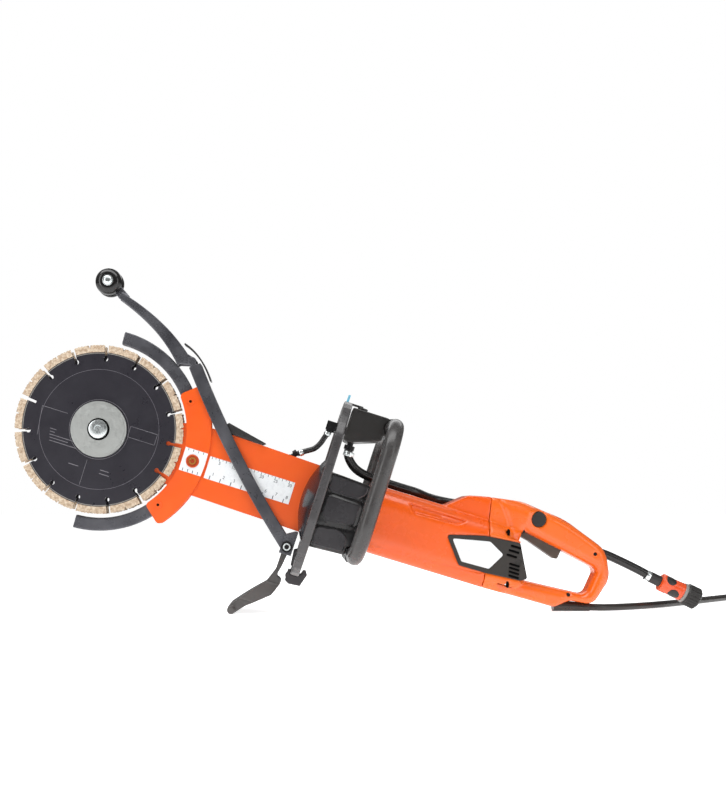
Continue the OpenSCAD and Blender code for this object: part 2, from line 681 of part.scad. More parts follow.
// ---- splash shield ----
module shield_shape(d = 0) translate([0, shield_mid]) soft_square(shield_w - 2 * d, shield_h - 2 * d, shield_r - d);
module arm_hole(x0, x1) translate([x0, -arm_half - gap, -56]) cube([x1 - x0, arm_t + 2 * gap, 101]);
valve_z = 100;
module splash_shield() color("lightcyan", 0.4) machine() difference() {
    along(shield_x - shield_t / 2, shield_x + shield_t / 2) shield_shape(rim_w / 2);
    arm_hole(-60, 0);
    rod(9.1, -60, 0, valve_z);
}
module shield_rim() color("gray") machine() difference() {
    along(shield_x - 6, shield_x + 5.5) shield_shape();
    along(shield_x - 7, shield_x + 7) shield_shape(rim_w);
    along(shield_x - shield_t / 2 - fit, shield_x + shield_t / 2 + fit) shield_shape(rim_w / 2 - fit);
}
module shield_collar() color("black") machine() {
    cap_r = 106;
    front_x = shield_x - 23.5;
    back_x = shield_x - shield_t / 2;
    difference() {
        intersection() {
            translate([front_x + cap_r, 0, -4]) sphere(cap_r, $fn = 96);
            along(front_x - 1, back_x) translate([0, -4]) circle(66);
        }
        translate([front_x + cap_r, 0, -4]) sphere(cap_r - wall, $fn = 96);
        arm_hole(-80, 0);
    }
    difference() {
        along(shield_x + shield_t / 2, -22) translate([0, -4]) circle(46);
        arm_hole(-60, 0);
    }
}
latch_pin = [-36.5, -112];
module shield_clip() color("dimgray") machine() {
    slab(-14, 14) difference() {
        polygon([[-38, -104], [-38, -119], [-32, -122.5], [-16, -121], [-11, -104], [-14, -99], [-18, -100], [-19.5, -106],
            [-21, -106.5], [-21, -98], [-34.5, -98], [-34.5, -104]]);
        translate([shield_x - 6 - fit, -109]) square([11.5 + 2 * fit, 30]);
    }
    pin(latch_pin, 3, -13, -5);
    pin(latch_pin, 3, 5, 13);
    slab(-5, 5) polygon([[-33.6, -98], [-36.5, -98], [-38.5, -76], [-33.6, -73]]);
}

// ---- front handle ----
tube_r = tube_d / 2;
module bend(cy, cz, a) translate([loop_x, cy, cz]) rotate([90, 0, 90]) rotate([0, 0, a])
    rotate_extrude(angle = 90) translate([loop_r, 0]) circle(tube_r, $fn = 48);
module front_handle() color("gray") machine() {
    half = loop_w / 2;
    cy = half - loop_r;
    top = loop_top - loop_r;
    low = loop_bottom + loop_r;
    pin([loop_x, loop_top], tube_r, -cy, cy);
    for (s = [-1, 1]) translate([loop_x, s * half, low]) cylinder(r = tube_r, h = top - low);
    bend(cy, top, 0);
    bend(-cy, top, 90);
    bend(-cy, low, 180);
    bend(cy, low, 270);
    for (s = [-1, 1]) {
        pin([loop_x, loop_bottom], 6.5, s > 0 ? cy - 20 : -cy - 0.01, s > 0 ? cy + 0.01 : -cy + 20);
    }
}
module handle_mount() color("dimgray") machine() difference() {
    slab(-loop_w / 2 + loop_r, loop_w / 2 - loop_r)
        polygon([[loop_x - 11, mount_top], [loop_x - 11, loop_bottom - 7], [loop_x - 8, loop_bottom - 9.5],
            [loop_x + 8, loop_bottom - 9.5], [loop_x + 12, mount_top]]);
    for (s = [-1, 1]) pin([loop_x, loop_bottom], 6.5 + fit, s > 0 ? loop_w / 2 - loop_r - 20.1 : -loop_w / 2,
        s > 0 ? loop_w / 2 : -loop_w / 2 + loop_r + 20.1);
}

// ---- water valve and hoses ----
valve_front = -19.5;
module valve_body() color("black") machine() {
    difference() {
        union() {
            slab(-22, 22) polygon(rounded([[valve_front, 131.5, 2], [valve_front, 86, 2], [-12, 84, 4], [30, 99, 3],
                [32, 131.5, 3]]));
            pin([loop_x, loop_top], tube_r + 3, -22, 22);
        }
        pin([loop_x, loop_top], tube_r, -30, 30);
        translate([loop_x + 3, -30, 90]) cube([30, 60, 60]);
        rod(5, valve_front - 1, 0, valve_z);
        translate([-8, 0, 60]) cylinder(r = 4, h = 50);
    }
}
supply_path = route([[-8, 0, 76], [-6, 0, 68], [2, 1, 59], [14, 3, 52.5], [34, 6, 49.5], [70, 10, 49], [98, 15, 49.5],
    [115, 26, 48.5], [130, 36, 49], [150, 39, 51], [180, 40, 56], [205, 39, 61], [230, 38, 62.5], [252, 36, 62.5],
    [276, 30, 62.5], [300, 26.5, 60.5], [335, 26, 54], [352, 26, 50], [363, 26, 46.5]], 3);
feed_path = route([[-40, 0, 94], [-44, 0, 84], [-47, 0, 74], [-53, 0, 64], [-64, 0, 56.5], [-73, 0, 50]], 4);
module feed_hose() color("black") machine() tube(feed_path, feed_d, 10, [0, 1, 0]);
module supply_hose() color("black") machine() tube(supply_path, hose_d, 10);
module water_fittings() color("silver") machine() {
    difference() {
        union() {
            translate([-47, -7, 94]) cube([14, 14, 12]);
            rod(5, -34, valve_front, valve_z);
            translate([-40, 0, 92]) cylinder(r = feed_d / 2 + 2, h = 3);
        }
        translate([-40, 0, 91]) cylinder(r = feed_d / 2 + fit, h = 3);
    }
    translate([-8, 0, 76]) cylinder(r = hose_d / 2 + 1.2, h = 6);
    translate([-8, 0, 81.5]) cylinder(r = 4, h = 14);
    difference() {
        translate([-77, 0, 47]) rotate([0, 40, 0]) cylinder(r = feed_d / 2 + 1.8, h = 5.5);
        translate([-100, -20, 20]) cube([100, 40, arm_top(arm_len - 80) - 17.5]);
    }
}
module hose_clips() color("black") machine() {
    for (c = [[300, 26.4, 60.4, 4], [345, 26, 52, 14]]) translate([c[0], c[1], c[2]]) rotate([0, c[3], 0])
        translate([-4, 0, 0]) difference() {
            union() {
                rotate([0, 90, 0]) cylinder(r = hose_d / 2 + 3.2, h = 8);
                translate([0, -7, -5]) cube([8, 7, 10]);
            }
            translate([-1, 0, 0]) rotate([0, 90, 0]) cylinder(r = hose_d / 2 + 2.5 * gap, h = 10);
            translate([-2, -17, -20]) cube([14, 10.1, 40]);
        }
}
module valve_lever() color("skyblue") machine() {
    translate([-6, 0, 131.7]) cylinder(r = 7, h = 4.3);
    translate([-30, -3.5, 135.5]) cube([24, 7, 2.5]);
    translate([-30, -3.5, 137]) cube([2.5, 7, 10.5]);
}

// ---- guard link, roller arm, foot ----
front_pivot = [arm_len + pivot[0], pivot[1]];
link_line = [front_pivot, [185, 14.5] + (hinge - polar(156.6, 53.6)) / 2, hinge + [5, -4]];
module guard_link() color("gray") front() {
    far = link_y + link_t;
    difference() {
        union() {
            both(link_y, far) {
                polygon(strip(link_line, [-link_w, -link_w], [link_w, link_w], 12));
                translate(front_pivot) circle(link_w);
                translate(hinge) circle(6);
            }
            slab(-link_y - 0.1, link_y + 0.1) intersection() {
                polygon(strip(link_line, [-link_w, -link_w], [2.5 - link_w, 2.5 - link_w], 12));
                translate(hinge + [8, -28]) square([40, 32]);
            }
        }
        pin(front_pivot, pin_r + fit, -40, 40);
    }
    pin(hinge, 3, -far, far);
}
arm_line = [hinge + [-10.5, -4], roller + [90, -33], roller + [20, -13]];
module roller_arm() color("gray") front() {
    in = arm_half + gap;
    out = link_y - gap;
    difference() {
        union() {
            both(in, out) {
                polygon(strip(arm_line, [-10, -4.5], [10, 4.5], 12));
                polygon([hinge + [-17, -9], hinge + [-1, -5], hinge + [3, 5], hinge + [-8, 8]]);
                translate(hinge) circle(5.5);
            }
            slab(-in - 0.1, in + 0.1) polygon(strip(arm_line, [-10, -4.5], [-7.5, -2], 12));
            slab(-4, 4) polygon([curve(arm_line, 0.94) + [3, 6], curve(arm_line, 0.94) + [-1, -5],
                roller + [-5, -4], roller + [3, 8]]);
            pin(roller, 8, -4, 4);
        }
        pin(hinge, 3 + fit, -40, 40);
        pin(roller, 3 + fit, -40, 40);
    }
}
strap_line = [curve(arm_line, 0.18) + [8.5, 10.3], hinge + [9.5, 13.5], curve(link_line, 0.9) + [9.2, 7.6]];
module hinge_strap() color("black") front() slab(-9, 9) polygon(strip(strap_line, [-1.1, -1.1], [1.1, 1.1], 12));
module roller_half(s) translate([roller[0], s > 0 ? 5 : -5, roller[1]]) rotate([s > 0 ? -90 : 90, 0, 0])
    rotate_extrude($fn = 96) polygon(rounded([[3.2, 0, 0], [roller_d / 2 - 2, 0, 1], [roller_d / 2, 2, 1.5],
        [roller_d / 2, 6, 4], [roller_d / 2 - 5, 12, 5], [3.2, 12, 0]]));
module guide_rollers() color("black") front() {
    roller_half(-1);
    roller_half(1);
    pin(roller, 3, -20, 20);
    for (s = [-1, 1]) pin(roller, 5.8, s > 0 ? 17.1 : -20.5, s > 0 ? 20.5 : -17.1);
}
module pivot_bracket() color("dimgray") machine() {
    cheek = link_y + link_t + 0.5;
    difference() {
        union() {
            both(cheek, cheek + 3.5) polygon([pivot + [-8, -10.5], pivot + [9, -10.5], pivot + [9.3, 23], pivot + [5, 23],
                pivot + [-8, 15]]);
            translate([pivot[0] + 5, -cheek - 0.1, pivot[1] + 13.3]) cube([4.3, 2 * cheek + 0.2, 9.9]);
        }
        pin(pivot, pin_r, -40, 40);
    }
}
module pivot_bolt() color("silver") machine() {
    end = link_y + link_t + 4;
    pin(pivot, pin_r, -end, end);
    difference() {
        pin(pivot, 7.5, -end - 3, -end);
        pin(pivot, 3, -end - 4, -end - 1, $fn = 6);
    }
    pin(pivot, 7.5, end, end + 3, $fn = 6);
}
module support_foot() color("gray") machine() {
    tip = [foot_tip_x, floor_z(foot_tip_x, foot_r)];
    ear = link_y - 0.5;
    difference() {
        union() {
            intersection() {
                slab(-foot_half, foot_half) polygon(rounded([[pivot[0] - 4.5, pivot[1] - 4, 0], [-54, -108, 8], [-61, -127, 8],
                    [-77, -145, 8], tip_corner(tip, [-5.6, 3.6]), tip_corner(tip, [3.6, -4.4]),
                    [-78, -166, 6], [-49, -143, 6], [-42.4, -127, 4], [-42.2, -121, 1.5], [-46, -116.5, 1.5], [-47, -121, 1.5],
                    [-50, -114, 3], [-47.6, -104, 6], [pivot[0] + 4.5, pivot[1] - 4, 0]], 4));
                along(-200, 100) polygon([[-ear, pivot[1]], [-ear, -128], [-foot_half + 4, -158], [-foot_half + 4, -190],
                    [foot_half - 4, -190], [foot_half - 4, -158], [ear, -128], [ear, pivot[1]]]);
            }
            pin(pivot, 9, -ear, ear);
            pin(tip, foot_r, -foot_half, foot_half);
        }
        pin(pivot, pin_r + fit, -40, 40);
    }
}
function tip_corner(tip, d) = [tip[0] + d[0], tip[1] + d[1], 0];

// ---- inlet hose and coupler, in the floor frame ----
exit = to_floor([363, 26, 46.5]);
coupler_tilt = 25.5;
coupler_len = 65;
coupler_start = [478, 22, coupler_len * sin(coupler_tilt) + nut_r * cos(coupler_tilt)];
inlet_path = route([exit, [410, 26, 76.5], [432, 25, 66.5], [456, 23.5, 54.5], coupler_start], 3);
module coupler_axis(x) translate(coupler_start) rotate([0, 90 + coupler_tilt, 0]) translate([0, 0, x]) children();
module inlet_hose() color("black") tube(inlet_path, hose_d, 10, [0, 1, 0]);
module hose_coupler() color("orangered") {
    coupler_axis(0) cylinder(r = 7.5, h = 8);
    coupler_axis(8) cylinder(r = 12.5, h = 33);
    coupler_axis(41) cylinder(r = 13.5, h = 4);
    difference() {
        coupler_axis(45) cylinder(r = nut_r, h = coupler_len - 45);
        coupler_axis(50) cylinder(r = 6.5, h = 30);
    }
}

// ---- power cord, in the floor frame ----
boot_len = 50;
boot_r0 = 8;
boot_x = 330;
boot_fall = atan((boot_r0 - cord_d / 2 - 0.8) / boot_len);
boot_end = [boot_x + boot_len * cos(boot_fall), 0, boot_r0 * cos(boot_fall) - boot_len * sin(boot_fall)];
module boot_shape(grow = 0) translate([boot_x, 0, boot_r0 * cos(boot_fall)]) rotate([0, 90 + boot_fall, 0])
    translate([0, 0, -grow]) cylinder(r1 = boot_r0 + grow, r2 = cord_d / 2 + 0.8 + grow, h = boot_len);
module cable_boot() color("black") boot_shape();
cord_z = cord_d / 2 + 0.05;
cord_path = route([boot_end, [390, 0, 5.3], [402, 2, 5], [430, 12, cord_z], [460, 27, cord_z], [490, 46, cord_z],
    [520, 68, cord_z], [550, 92, cord_z], [580, 117, cord_z], [610, 142, cord_z], [640, 168, cord_z],
    [666, 194, cord_z], [678, 207, cord_z]], 2);
coil_at = [740, 180];
coil_r = 55;
coil_turns = 3;
coil_half = coil_turns * cord_d / 2;
tail_path = route([[726, 116, 12.4], [716, 114.5, 11], [704, 111, 8], [688, 100, 6.5], [678, 84, 8],
    [675, 66, 12], [675, 54, 16]], 2);
module power_cord() color("black") {
    tube(cord_path, cord_d, 8);
    tube(tail_path, cord_d, 8);
}
module cord_coil() color("black") translate([coil_at[0], coil_at[1], 0]) rotate_extrude($fn = 96)
    translate([coil_r - coil_half, 0]) square([2 * coil_half, 2 * cord_d]);
module plug() color("black") translate([675, 54, 18]) rotate([90, 0, 0]) {
    cylinder(r1 = 8, r2 = 14, h = 18);
    translate([0, 0, 18]) cylinder(r = 18, h = 26);
    for (s = [-1, 1]) translate([9.5 * s, 0, 44]) cylinder(r = 2.4, h = 19);
}

motor_housing();
rear_handle_near();
rear_handle_far();
gear_housing();
gear_covers();
arm_frame();
arm_cover_near();
arm_cover_far();
arm_screws();
fork_plates();
guard_fingers();
label_plates();
splash_shield();
shield_rim();
shield_collar();
shield_clip();
front_handle();
handle_mount();
valve_body();
water_fittings();
feed_hose();
supply_hose();
hose_clips();
deflector();
pivot_bracket();
pivot_bolt();
side_panels();
stator();
shaft_bearings();
brush_gear();
switch_module();
housing_screws();
drive_belt();
cable_boot();
spindle();
driven_pulley();
blade_near();
blade_far();
blade_segments();
clamp_flanges();
blade_bolts();
pulley_shaft();
drive_pulley();
crown_gear();
rotor_shaft();
armature();
cooling_fan();
guard_link();
hinge_strap();
roller_arm();
guide_rollers();
support_foot();
trigger();
lock_button();
valve_lever();
inlet_hose();
hose_coupler();
power_cord();
cord_coil();
plug();
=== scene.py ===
# %% [markdown]
# # A twin-blade concrete cut-off saw
# The saw arrives as sixty fixed parts in real metres. This lesson gives them their finished surfaces:
# moulded housings with soft edges, a printed blade core, hoses, a scale plate and a clear splash shield.
# Every new piece is worked out from the parts' own places, so it fits with nothing to adjust.

# %% Load the parts
import json
import math

import bmesh
import bpy
import numpy as np
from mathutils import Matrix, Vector


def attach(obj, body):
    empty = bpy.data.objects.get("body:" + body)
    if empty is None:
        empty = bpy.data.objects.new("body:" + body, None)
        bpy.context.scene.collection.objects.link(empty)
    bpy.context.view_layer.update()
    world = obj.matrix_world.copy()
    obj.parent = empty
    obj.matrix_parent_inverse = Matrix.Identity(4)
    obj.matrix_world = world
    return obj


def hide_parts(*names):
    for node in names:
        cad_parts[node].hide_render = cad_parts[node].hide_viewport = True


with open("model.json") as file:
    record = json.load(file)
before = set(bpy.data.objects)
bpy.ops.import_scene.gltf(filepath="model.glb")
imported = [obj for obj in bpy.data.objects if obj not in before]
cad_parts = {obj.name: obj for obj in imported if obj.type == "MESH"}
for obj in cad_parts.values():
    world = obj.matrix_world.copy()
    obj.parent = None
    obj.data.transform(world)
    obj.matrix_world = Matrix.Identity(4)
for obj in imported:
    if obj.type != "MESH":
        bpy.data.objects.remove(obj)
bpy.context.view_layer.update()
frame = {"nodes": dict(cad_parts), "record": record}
nodes = frame["nodes"]
joints = frame["record"]["behaviour"]["joints"]
joint_at = {joint["name"]: np.array(joint["pos_m"]) for joint in joints if "pos_m" in joint}

# %% [markdown]
# ## Two frames
# The saw rests tilted, nose up. Its own frame has u along the machine towards the rear, y across it and
# b square to it and up, in millimetres, with the blade axis at u = -340. One function turns such places
# into metres in the world, so each piece can be drawn as on a workshop drawing.

# %% From the machine's own frame to the world
REST_TILT = math.radians(17.5)
ALONG = np.array([math.cos(REST_TILT), 0, -math.sin(REST_TILT)])
ACROSS = np.array([0.0, 1.0, 0.0])
UP = np.array([math.sin(REST_TILT), 0, math.cos(REST_TILT)])
ARM_LENGTH = 340
MM = 0.001
BLADE_AXIS = joint_at["blade_spin"]


def machine(u, y, b):
    """World places, in metres, of u, y and b in millimetres: blade axis + (u + 340) along + y across + b up."""
    u, y, b = np.broadcast_arrays(u, y, b)
    offset = (u + ARM_LENGTH)[..., None] * ALONG + y[..., None] * ACROSS + b[..., None] * UP
    return BLADE_AXIS + offset * MM


print("rear end of the machine frame", machine(380.0, 0.0, 0.0).round(3))

# %% [markdown]
# ## The camera
# A long lens low over the floor, level and square to the saw, as in a catalogue. The frame is moved over
# the lens axis by a small shift, because the saw stands to one side and above the horizon.

# %% Camera
CAMERA_AT = (-0.0157, -1.4, 0.138)
FRAME_CENTRE = (0.0705, 0.2889)
FRAME_TALL = 1.095
camera_data = bpy.data.cameras.new("camera")
camera_data.sensor_width = 36
camera_data.lens = 36 * -CAMERA_AT[1] / FRAME_TALL
camera_data.shift_x = (FRAME_CENTRE[0] - CAMERA_AT[0]) / FRAME_TALL
camera_data.shift_y = (FRAME_CENTRE[1] - CAMERA_AT[2]) / FRAME_TALL
camera = bpy.data.objects.new("camera", camera_data)
camera.location = CAMERA_AT
camera.rotation_euler = (math.pi / 2, 0, 0)
bpy.context.scene.collection.objects.link(camera)
bpy.context.scene.camera = camera
bpy.context.scene.view_settings.view_transform = "Standard"
print("lens", round(camera_data.lens, 1))

# %% [markdown]
# ## One way to add a shader node
# Every finish is a small graph. One function adds a node, sets its options and joins or fills its inputs,
# and another starts a material whose constants sit on the shader itself.


# %% Node and material helpers
def linear(code):
    """The linear colour of an sRGB hex code: (c / 12.92) below 0.04045, ((c + 0.055) / 1.055)^2.4 above."""
    c = np.array([int(code[i : i + 2], 16) for i in (0, 2, 4)]) / 255
    return (*np.where(c <= 0.04045, c / 12.92, ((c + 0.055) / 1.055) ** 2.4), 1.0)


def add(tree, kind, inputs=(), **options):
    """A node of that kind. Each input is filled with its value, or joined to it if it is a socket."""
    node = tree.nodes.new("ShaderNode" + kind)
    for name, value in options.items():
        setattr(node, name, value)
    for key, value in dict(inputs).items():
        if isinstance(value, bpy.types.NodeSocket):
            tree.links.new(value, node.inputs[key])
        else:
            node.inputs[key].default_value = value
    return node


def start(name, colour, roughness, metallic=0.0, **constants):
    """A material with one shader. Returns it, its tree, its shader and its object coordinates."""
    material = bpy.data.materials.new(name)
    material.use_nodes = True
    tree = material.node_tree
    shader = tree.nodes["Principled BSDF"]
    values = {"Base Color": linear(colour), "Roughness": roughness, "Metallic": metallic, **constants}
    for key, value in values.items():
        shader.inputs[key].default_value = value
    material.diffuse_color = linear(colour)
    return material, tree, shader, add(tree, "TexCoord").outputs["Object"]


# %% [markdown]
# ## What handling does to a surface
# Three small patterns cover most finishes: colour that drifts a little, gloss that drifts a little, and
# a fine texture in relief. Their sizes are real ones in millimetres.


# %% Colour, gloss and relief patterns
def drift_colour(tree, shader, place, first, second, size, contrast=1.0):
    """Base colour wanders between two codes over patches of that size in millimetres."""
    noise = add(tree, "TexNoise", {"Vector": place, "Scale": 1000 / size, "Detail": 4.0})
    ramp = add(tree, "MapRange", {"Value": noise.outputs["Fac"], "From Min": 0.5 - 0.25 / contrast,
                                  "From Max": 0.5 + 0.25 / contrast})
    mix = add(tree, "Mix", {"Factor": ramp.outputs["Result"], 6: linear(first), 7: linear(second)},
              data_type="RGBA")
    tree.links.new(mix.outputs[2], shader.inputs["Base Color"])
    return mix


def drift_gloss(tree, shader, place, low, high, size):
    """Roughness wanders between low and high over patches of that size in millimetres."""
    noise = add(tree, "TexNoise", {"Vector": place, "Scale": 1000 / size, "Detail": 5.0, "Roughness": 0.6})
    ramp = add(tree, "MapRange", {"Value": noise.outputs["Fac"], "From Min": 0.3, "From Max": 0.7,
                                  "To Min": low, "To Max": high})
    tree.links.new(ramp.outputs["Result"], shader.inputs["Roughness"])
    return ramp


def relief(tree, shader, place, size, depth, strength=1.0, kind="TexNoise"):
    """A grain of that size in millimetres stands up by depth millimetres."""
    grain = add(tree, kind, {"Vector": place, "Scale": 1000 / size})
    height = grain.outputs["Fac" if kind == "TexNoise" else "Distance"]
    bump = add(tree, "Bump", {"Height": height, "Distance": depth * MM, "Strength": strength})
    tree.links.new(bump.outputs["Normal"], shader.inputs["Normal"])
    return bump


# %% [markdown]
# ## Orange housing plastic
# Glass-filled nylon, moulded against a polished tool: a clear gloss with faint orange peel and dust that
# dulls it in patches. The far shell and the handle are a shade lighter than the motor housing.


# %% Moulded nylon
def moulded_nylon(name, colour, shade):
    material, tree, shader, place = start(name, colour, 0.3, IOR=1.53)
    shader.inputs["Coat Weight"].default_value = 0.2
    shader.inputs["Coat Roughness"].default_value = 0.12
    drift_colour(tree, shader, place, colour, shade, 60)
    drift_gloss(tree, shader, place, 0.2, 0.32, 25)
    relief(tree, shader, place, 2.4, 0.01, 0.2)
    return material


housing_nylon = moulded_nylon("moulded_nylon_housing", "EA5C06", "E25204")
handle_nylon = moulded_nylon("moulded_nylon_handle", "EE6A14", "E6600E")
coupler_nylon = moulded_nylon("moulded_nylon_coupler", "E8571F", "DA4A18")

# %% [markdown]
# ## Powder coat, castings and plain steel
# The arm is sheet steel under a powder coat, redder and slightly pebbled. The grey pieces are coated steel
# with a painted sheen in broad light and dark patches, and the gear housing is a die casting with a fine skin.


# %% Coated metals
def powder_coat(name, colour, shade, roughness, pebble, metallic=0.0):
    material, tree, shader, place = start(name, colour, roughness, metallic, IOR=1.5)
    drift_colour(tree, shader, place, colour, shade, 45)
    drift_gloss(tree, shader, place, roughness - 0.07, roughness + 0.08, 14)
    relief(tree, shader, place, pebble, 0.03, 0.5)
    return material


arm_coat = powder_coat("powder_coated_arm", "E85A06", "E05004", 0.36, 1.2)
# The grey's two colours are painted sheen: broad lighter and darker patches that stand in for reflections.
sheen_painted_grey = powder_coat("coated_grey_steel", "6A6A6F", "3F3F44", 0.3, 0.9, 0.6)
foot_coat = powder_coat("coated_foot_steel", "5A5755", "4B4948", 0.38, 0.9, 0.35)
casting_skin = powder_coat("die_cast_gearbox", "454345", "323033", 0.24, 2.6, 0.35)
dark_coat = powder_coat("coated_dark_steel", "3F3D3F", "343234", 0.42, 1.0, 0.3)


def black_moulding(name, colour, shade, roughness, grain=0.9):
    """ABS or nylon with a spark-eroded texture: matt black that greys a little where hands rub it."""
    material, tree, shader, place = start(name, colour, roughness, IOR=1.5)
    drift_colour(tree, shader, place, colour, shade, 30)
    drift_gloss(tree, shader, place, roughness - 0.08, roughness + 0.08, 9)
    relief(tree, shader, place, grain, 0.04, 0.5)
    return material


def moulded_dome(name, colour, shade):
    """Polished black nylon with a slight bloom: almost no grain, so the dome shows one clean highlight."""
    material, tree, shader, place = start(name, colour, 0.2, IOR=1.53)
    drift_colour(tree, shader, place, colour, shade, 40)
    drift_gloss(tree, shader, place, 0.16, 0.26, 30)
    return material


black_nylon = black_moulding("black_moulded_nylon", "262321", "1C1A19", 0.4)
panel_nylon = black_moulding("black_side_panel", "2C2722", "221E1B", 0.45)
gear_cover_nylon = black_moulding("black_gear_cover", "100E0F", "0B0A0B", 0.3, 1.4)
black_nylon_lever = black_moulding("black_valve_lever", "232020", "191717", 0.38)
trigger_nylon = black_moulding("brown_trigger_nylon", "4F4338", "41372E", 0.45)
collar_nylon = moulded_dome("black_dome_collar", "23262B", "17181B")


# %% Bare and plated metals
def ground_metal(name, colour, roughness, scratch=0.4):
    """Turned or ground metal: fine scratches in relief and a gloss that drifts along them."""
    material, tree, shader, place = start(name, colour, roughness, 1.0)
    drift_gloss(tree, shader, place, roughness - 0.08, roughness + 0.1, 4)
    relief(tree, shader, place, scratch * 3, 0.004, 0.25)
    return material


zinc_plate = ground_metal("zinc_plated_steel", "DADFDF", 0.24)
bright_steel = ground_metal("ground_steel", "B8B9BB", 0.26)
turned_alloy = ground_metal("turned_alloy_flange", "B9BBB8", 0.42, 0.3)
plain_alloy = ground_metal("turned_alloy", "C4C5C7", 0.32)
pressed_brass = ground_metal("pressed_brass", "C9A04E", 0.3)
core_iron = ground_metal("laminated_iron", "55504C", 0.5)


def copper_winding():
    """Enamelled copper wire laid in rows: bands 1.2 mm apart along the rotor, in relief."""
    material, tree, shader, place = start("copper_winding", "9A5A34", 0.35, 0.9)
    bands = add(tree, "TexWave", {"Vector": place, "Scale": 1000 / 1.2 / 6.28, "Distortion": 1.5})
    bump = add(tree, "Bump", {"Height": bands.outputs["Fac"], "Distance": 0.0004, "Strength": 0.8})
    tree.links.new(bump.outputs["Normal"], shader.inputs["Normal"])
    return material


copper = copper_winding()


# %% [markdown]
# ## Rubber, sleeve and clear sheet
# The hoses and the cord are glossy black rubber, the front handle has a dense grey sleeve, and the splash
# shield is clear polycarbonate with a slight haze of fine scratches.


# %% Rubber and clear sheet
def rubber(name, colour, shade, roughness, sheen=0.05):
    material, tree, shader, place = start(name, colour, roughness, IOR=1.52)
    shader.inputs["Sheen Weight"].default_value = sheen
    shader.inputs["Sheen Roughness"].default_value = 0.4
    drift_colour(tree, shader, place, colour, shade, 20)
    drift_gloss(tree, shader, place, roughness - 0.07, roughness + 0.1, 12)
    relief(tree, shader, place, 1.4, 0.008, 0.25)
    return material


hose_rubber = rubber("glossy_hose_rubber", "1D1B1B", "141313", 0.24)
cord_rubber = rubber("cord_rubber", "2A2521", "1E1A18", 0.3)
roller_rubber = rubber("glossy_roller_rubber", "171616", "0F0E0E", 0.14, 0.0)
soft_black = rubber("soft_black_rubber", "232121", "171616", 0.42)
grey_sleeve = rubber("grey_handle_sleeve", "454342", "363434", 0.27, 0.0)
rim_rubber = rubber("grey_rim_rubber", "464445", "383637", 0.28, 0.0)


def clear_polycarbonate():
    """Clear sheet: mostly lets light through, with a thin haze and long soft streaks from wiping."""
    material, tree, shader, place = start("clear_polycarbonate", "F3F7F8", 0.06, IOR=1.58)
    shader.inputs["Alpha"].default_value = 0.28
    stretched = add(tree, "Mapping", {"Vector": place, "Scale": (20.0, 260.0, 12.0)})
    streaks = add(tree, "TexNoise", {"Vector": stretched.outputs["Vector"], "Scale": 1.0, "Detail": 3.0})
    ramp = add(tree, "MapRange", {"Value": streaks.outputs["Fac"], "From Min": 0.35, "From Max": 0.7,
                                  "To Min": 0.04, "To Max": 0.3})
    tree.links.new(ramp.outputs["Result"], shader.inputs["Roughness"])
    return material


clear_sheet = clear_polycarbonate()


def plain_finish(name, colour, shade, roughness, patch=8, **constants):
    """A simple painted or filled plastic: two near shades in patches and a gloss that drifts."""
    material, tree, shader, place = start(name, colour, roughness, **constants)
    drift_colour(tree, shader, place, colour, shade, patch)
    drift_gloss(tree, shader, place, roughness - 0.05, roughness + 0.08, patch * 0.6)
    return material


label_white = plain_finish("printed_label_film", "E9EBEC", "DFE2E4", 0.28)
label_ink = plain_finish("label_ink", "2B3340", "242B36", 0.35)
lever_blue = plain_finish("pale_blue_nylon", "7FC4DC", "70B8D2", 0.35)
adjuster_brass = plain_finish("red_brown_anodised", "B84A20", "A53E18", 0.3, Metallic=0.4)
plain_grey = plain_finish("grey_acetal_ring", "8C8B88", "7E7D7A", 0.35)
print_grey = plain_finish("faded_grey_print", "77757A", "625F66", 0.4)
# A dead black with almost no reflection, laid as painted shade in slots, recesses and round the blade bolt; the fork
# screw heads are flat spots of it too.
painted_shade_black = plain_finish("painted_shade_in_recesses", "060606", "030303", 0.8, **{"Specular IOR Level": 0.08})
black_oxide = ground_metal("black_oxide_screw", "2E2D2E", 0.4)

# %% [markdown]
# ## The blades
# A blade core is a steel disc printed dark grey. Thin pale rings are left where the segments are laser
# welded and round the flange, so the colour follows the distance from the blade's own axis. Segments are
# sintered metal powder: sandy, pitted and without gloss.


# %% Printed blade core and sintered segments
def ring_mask(tree, radius, radius_mm, width_mm):
    """1 within half a width of a radius: compare |r - radius| with half the width."""
    return add(tree, "Math", {0: radius, 1: radius_mm * MM, 2: width_mm * MM / 2}, operation="COMPARE")


def printed_core():
    material, tree, shader, place = start("printed_blade_core", "2E2C33", 0.3, 0.3)
    centred = add(tree, "VectorMath", {0: place, 1: tuple(BLADE_AXIS)}, operation="SUBTRACT")
    flat = add(tree, "VectorMath", {0: centred.outputs[0], 1: (1, 0, 1)}, operation="MULTIPLY")
    radius = add(tree, "VectorMath", {0: flat.outputs[0]}, operation="LENGTH").outputs["Value"]
    mix = drift_colour(tree, shader, place, "2E2C33", "27252C", 50)
    last = mix.outputs[2]
    for ring, wide, colour in ((103.6, 1.1, "8E8A84"), (81.5, 0.5, "6E6B72"), (40.5, 0.6, "77747A")):
        mask = ring_mask(tree, radius, ring, wide)
        step = add(tree, "Mix", {"Factor": mask.outputs[0], 6: last, 7: linear(colour)}, data_type="RGBA")
        last = step.outputs[2]
    tree.links.new(last, shader.inputs["Base Color"])
    drift_gloss(tree, shader, place, 0.26, 0.38, 20)
    relief(tree, shader, place, 0.7, 0.01, 0.25)
    return material


def sintered_segment():
    material, tree, shader, place = start("sintered_segment", "C9B69F", 0.62, 0.25)
    drift_colour(tree, shader, place, "D6C5AE", "A98F76", 3.5, 1.5)
    relief(tree, shader, place, 1.6, 0.5, 0.8, "TexVoronoi")
    return material


blade_core = printed_core()
segment_metal = sintered_segment()
print("finishes", len(bpy.data.materials))

# %% [markdown]
# ## A finish for every part
# Each part takes a finish by name. What is left showing of the plain parts then already has its material,
# and the softened copies below take the same one.

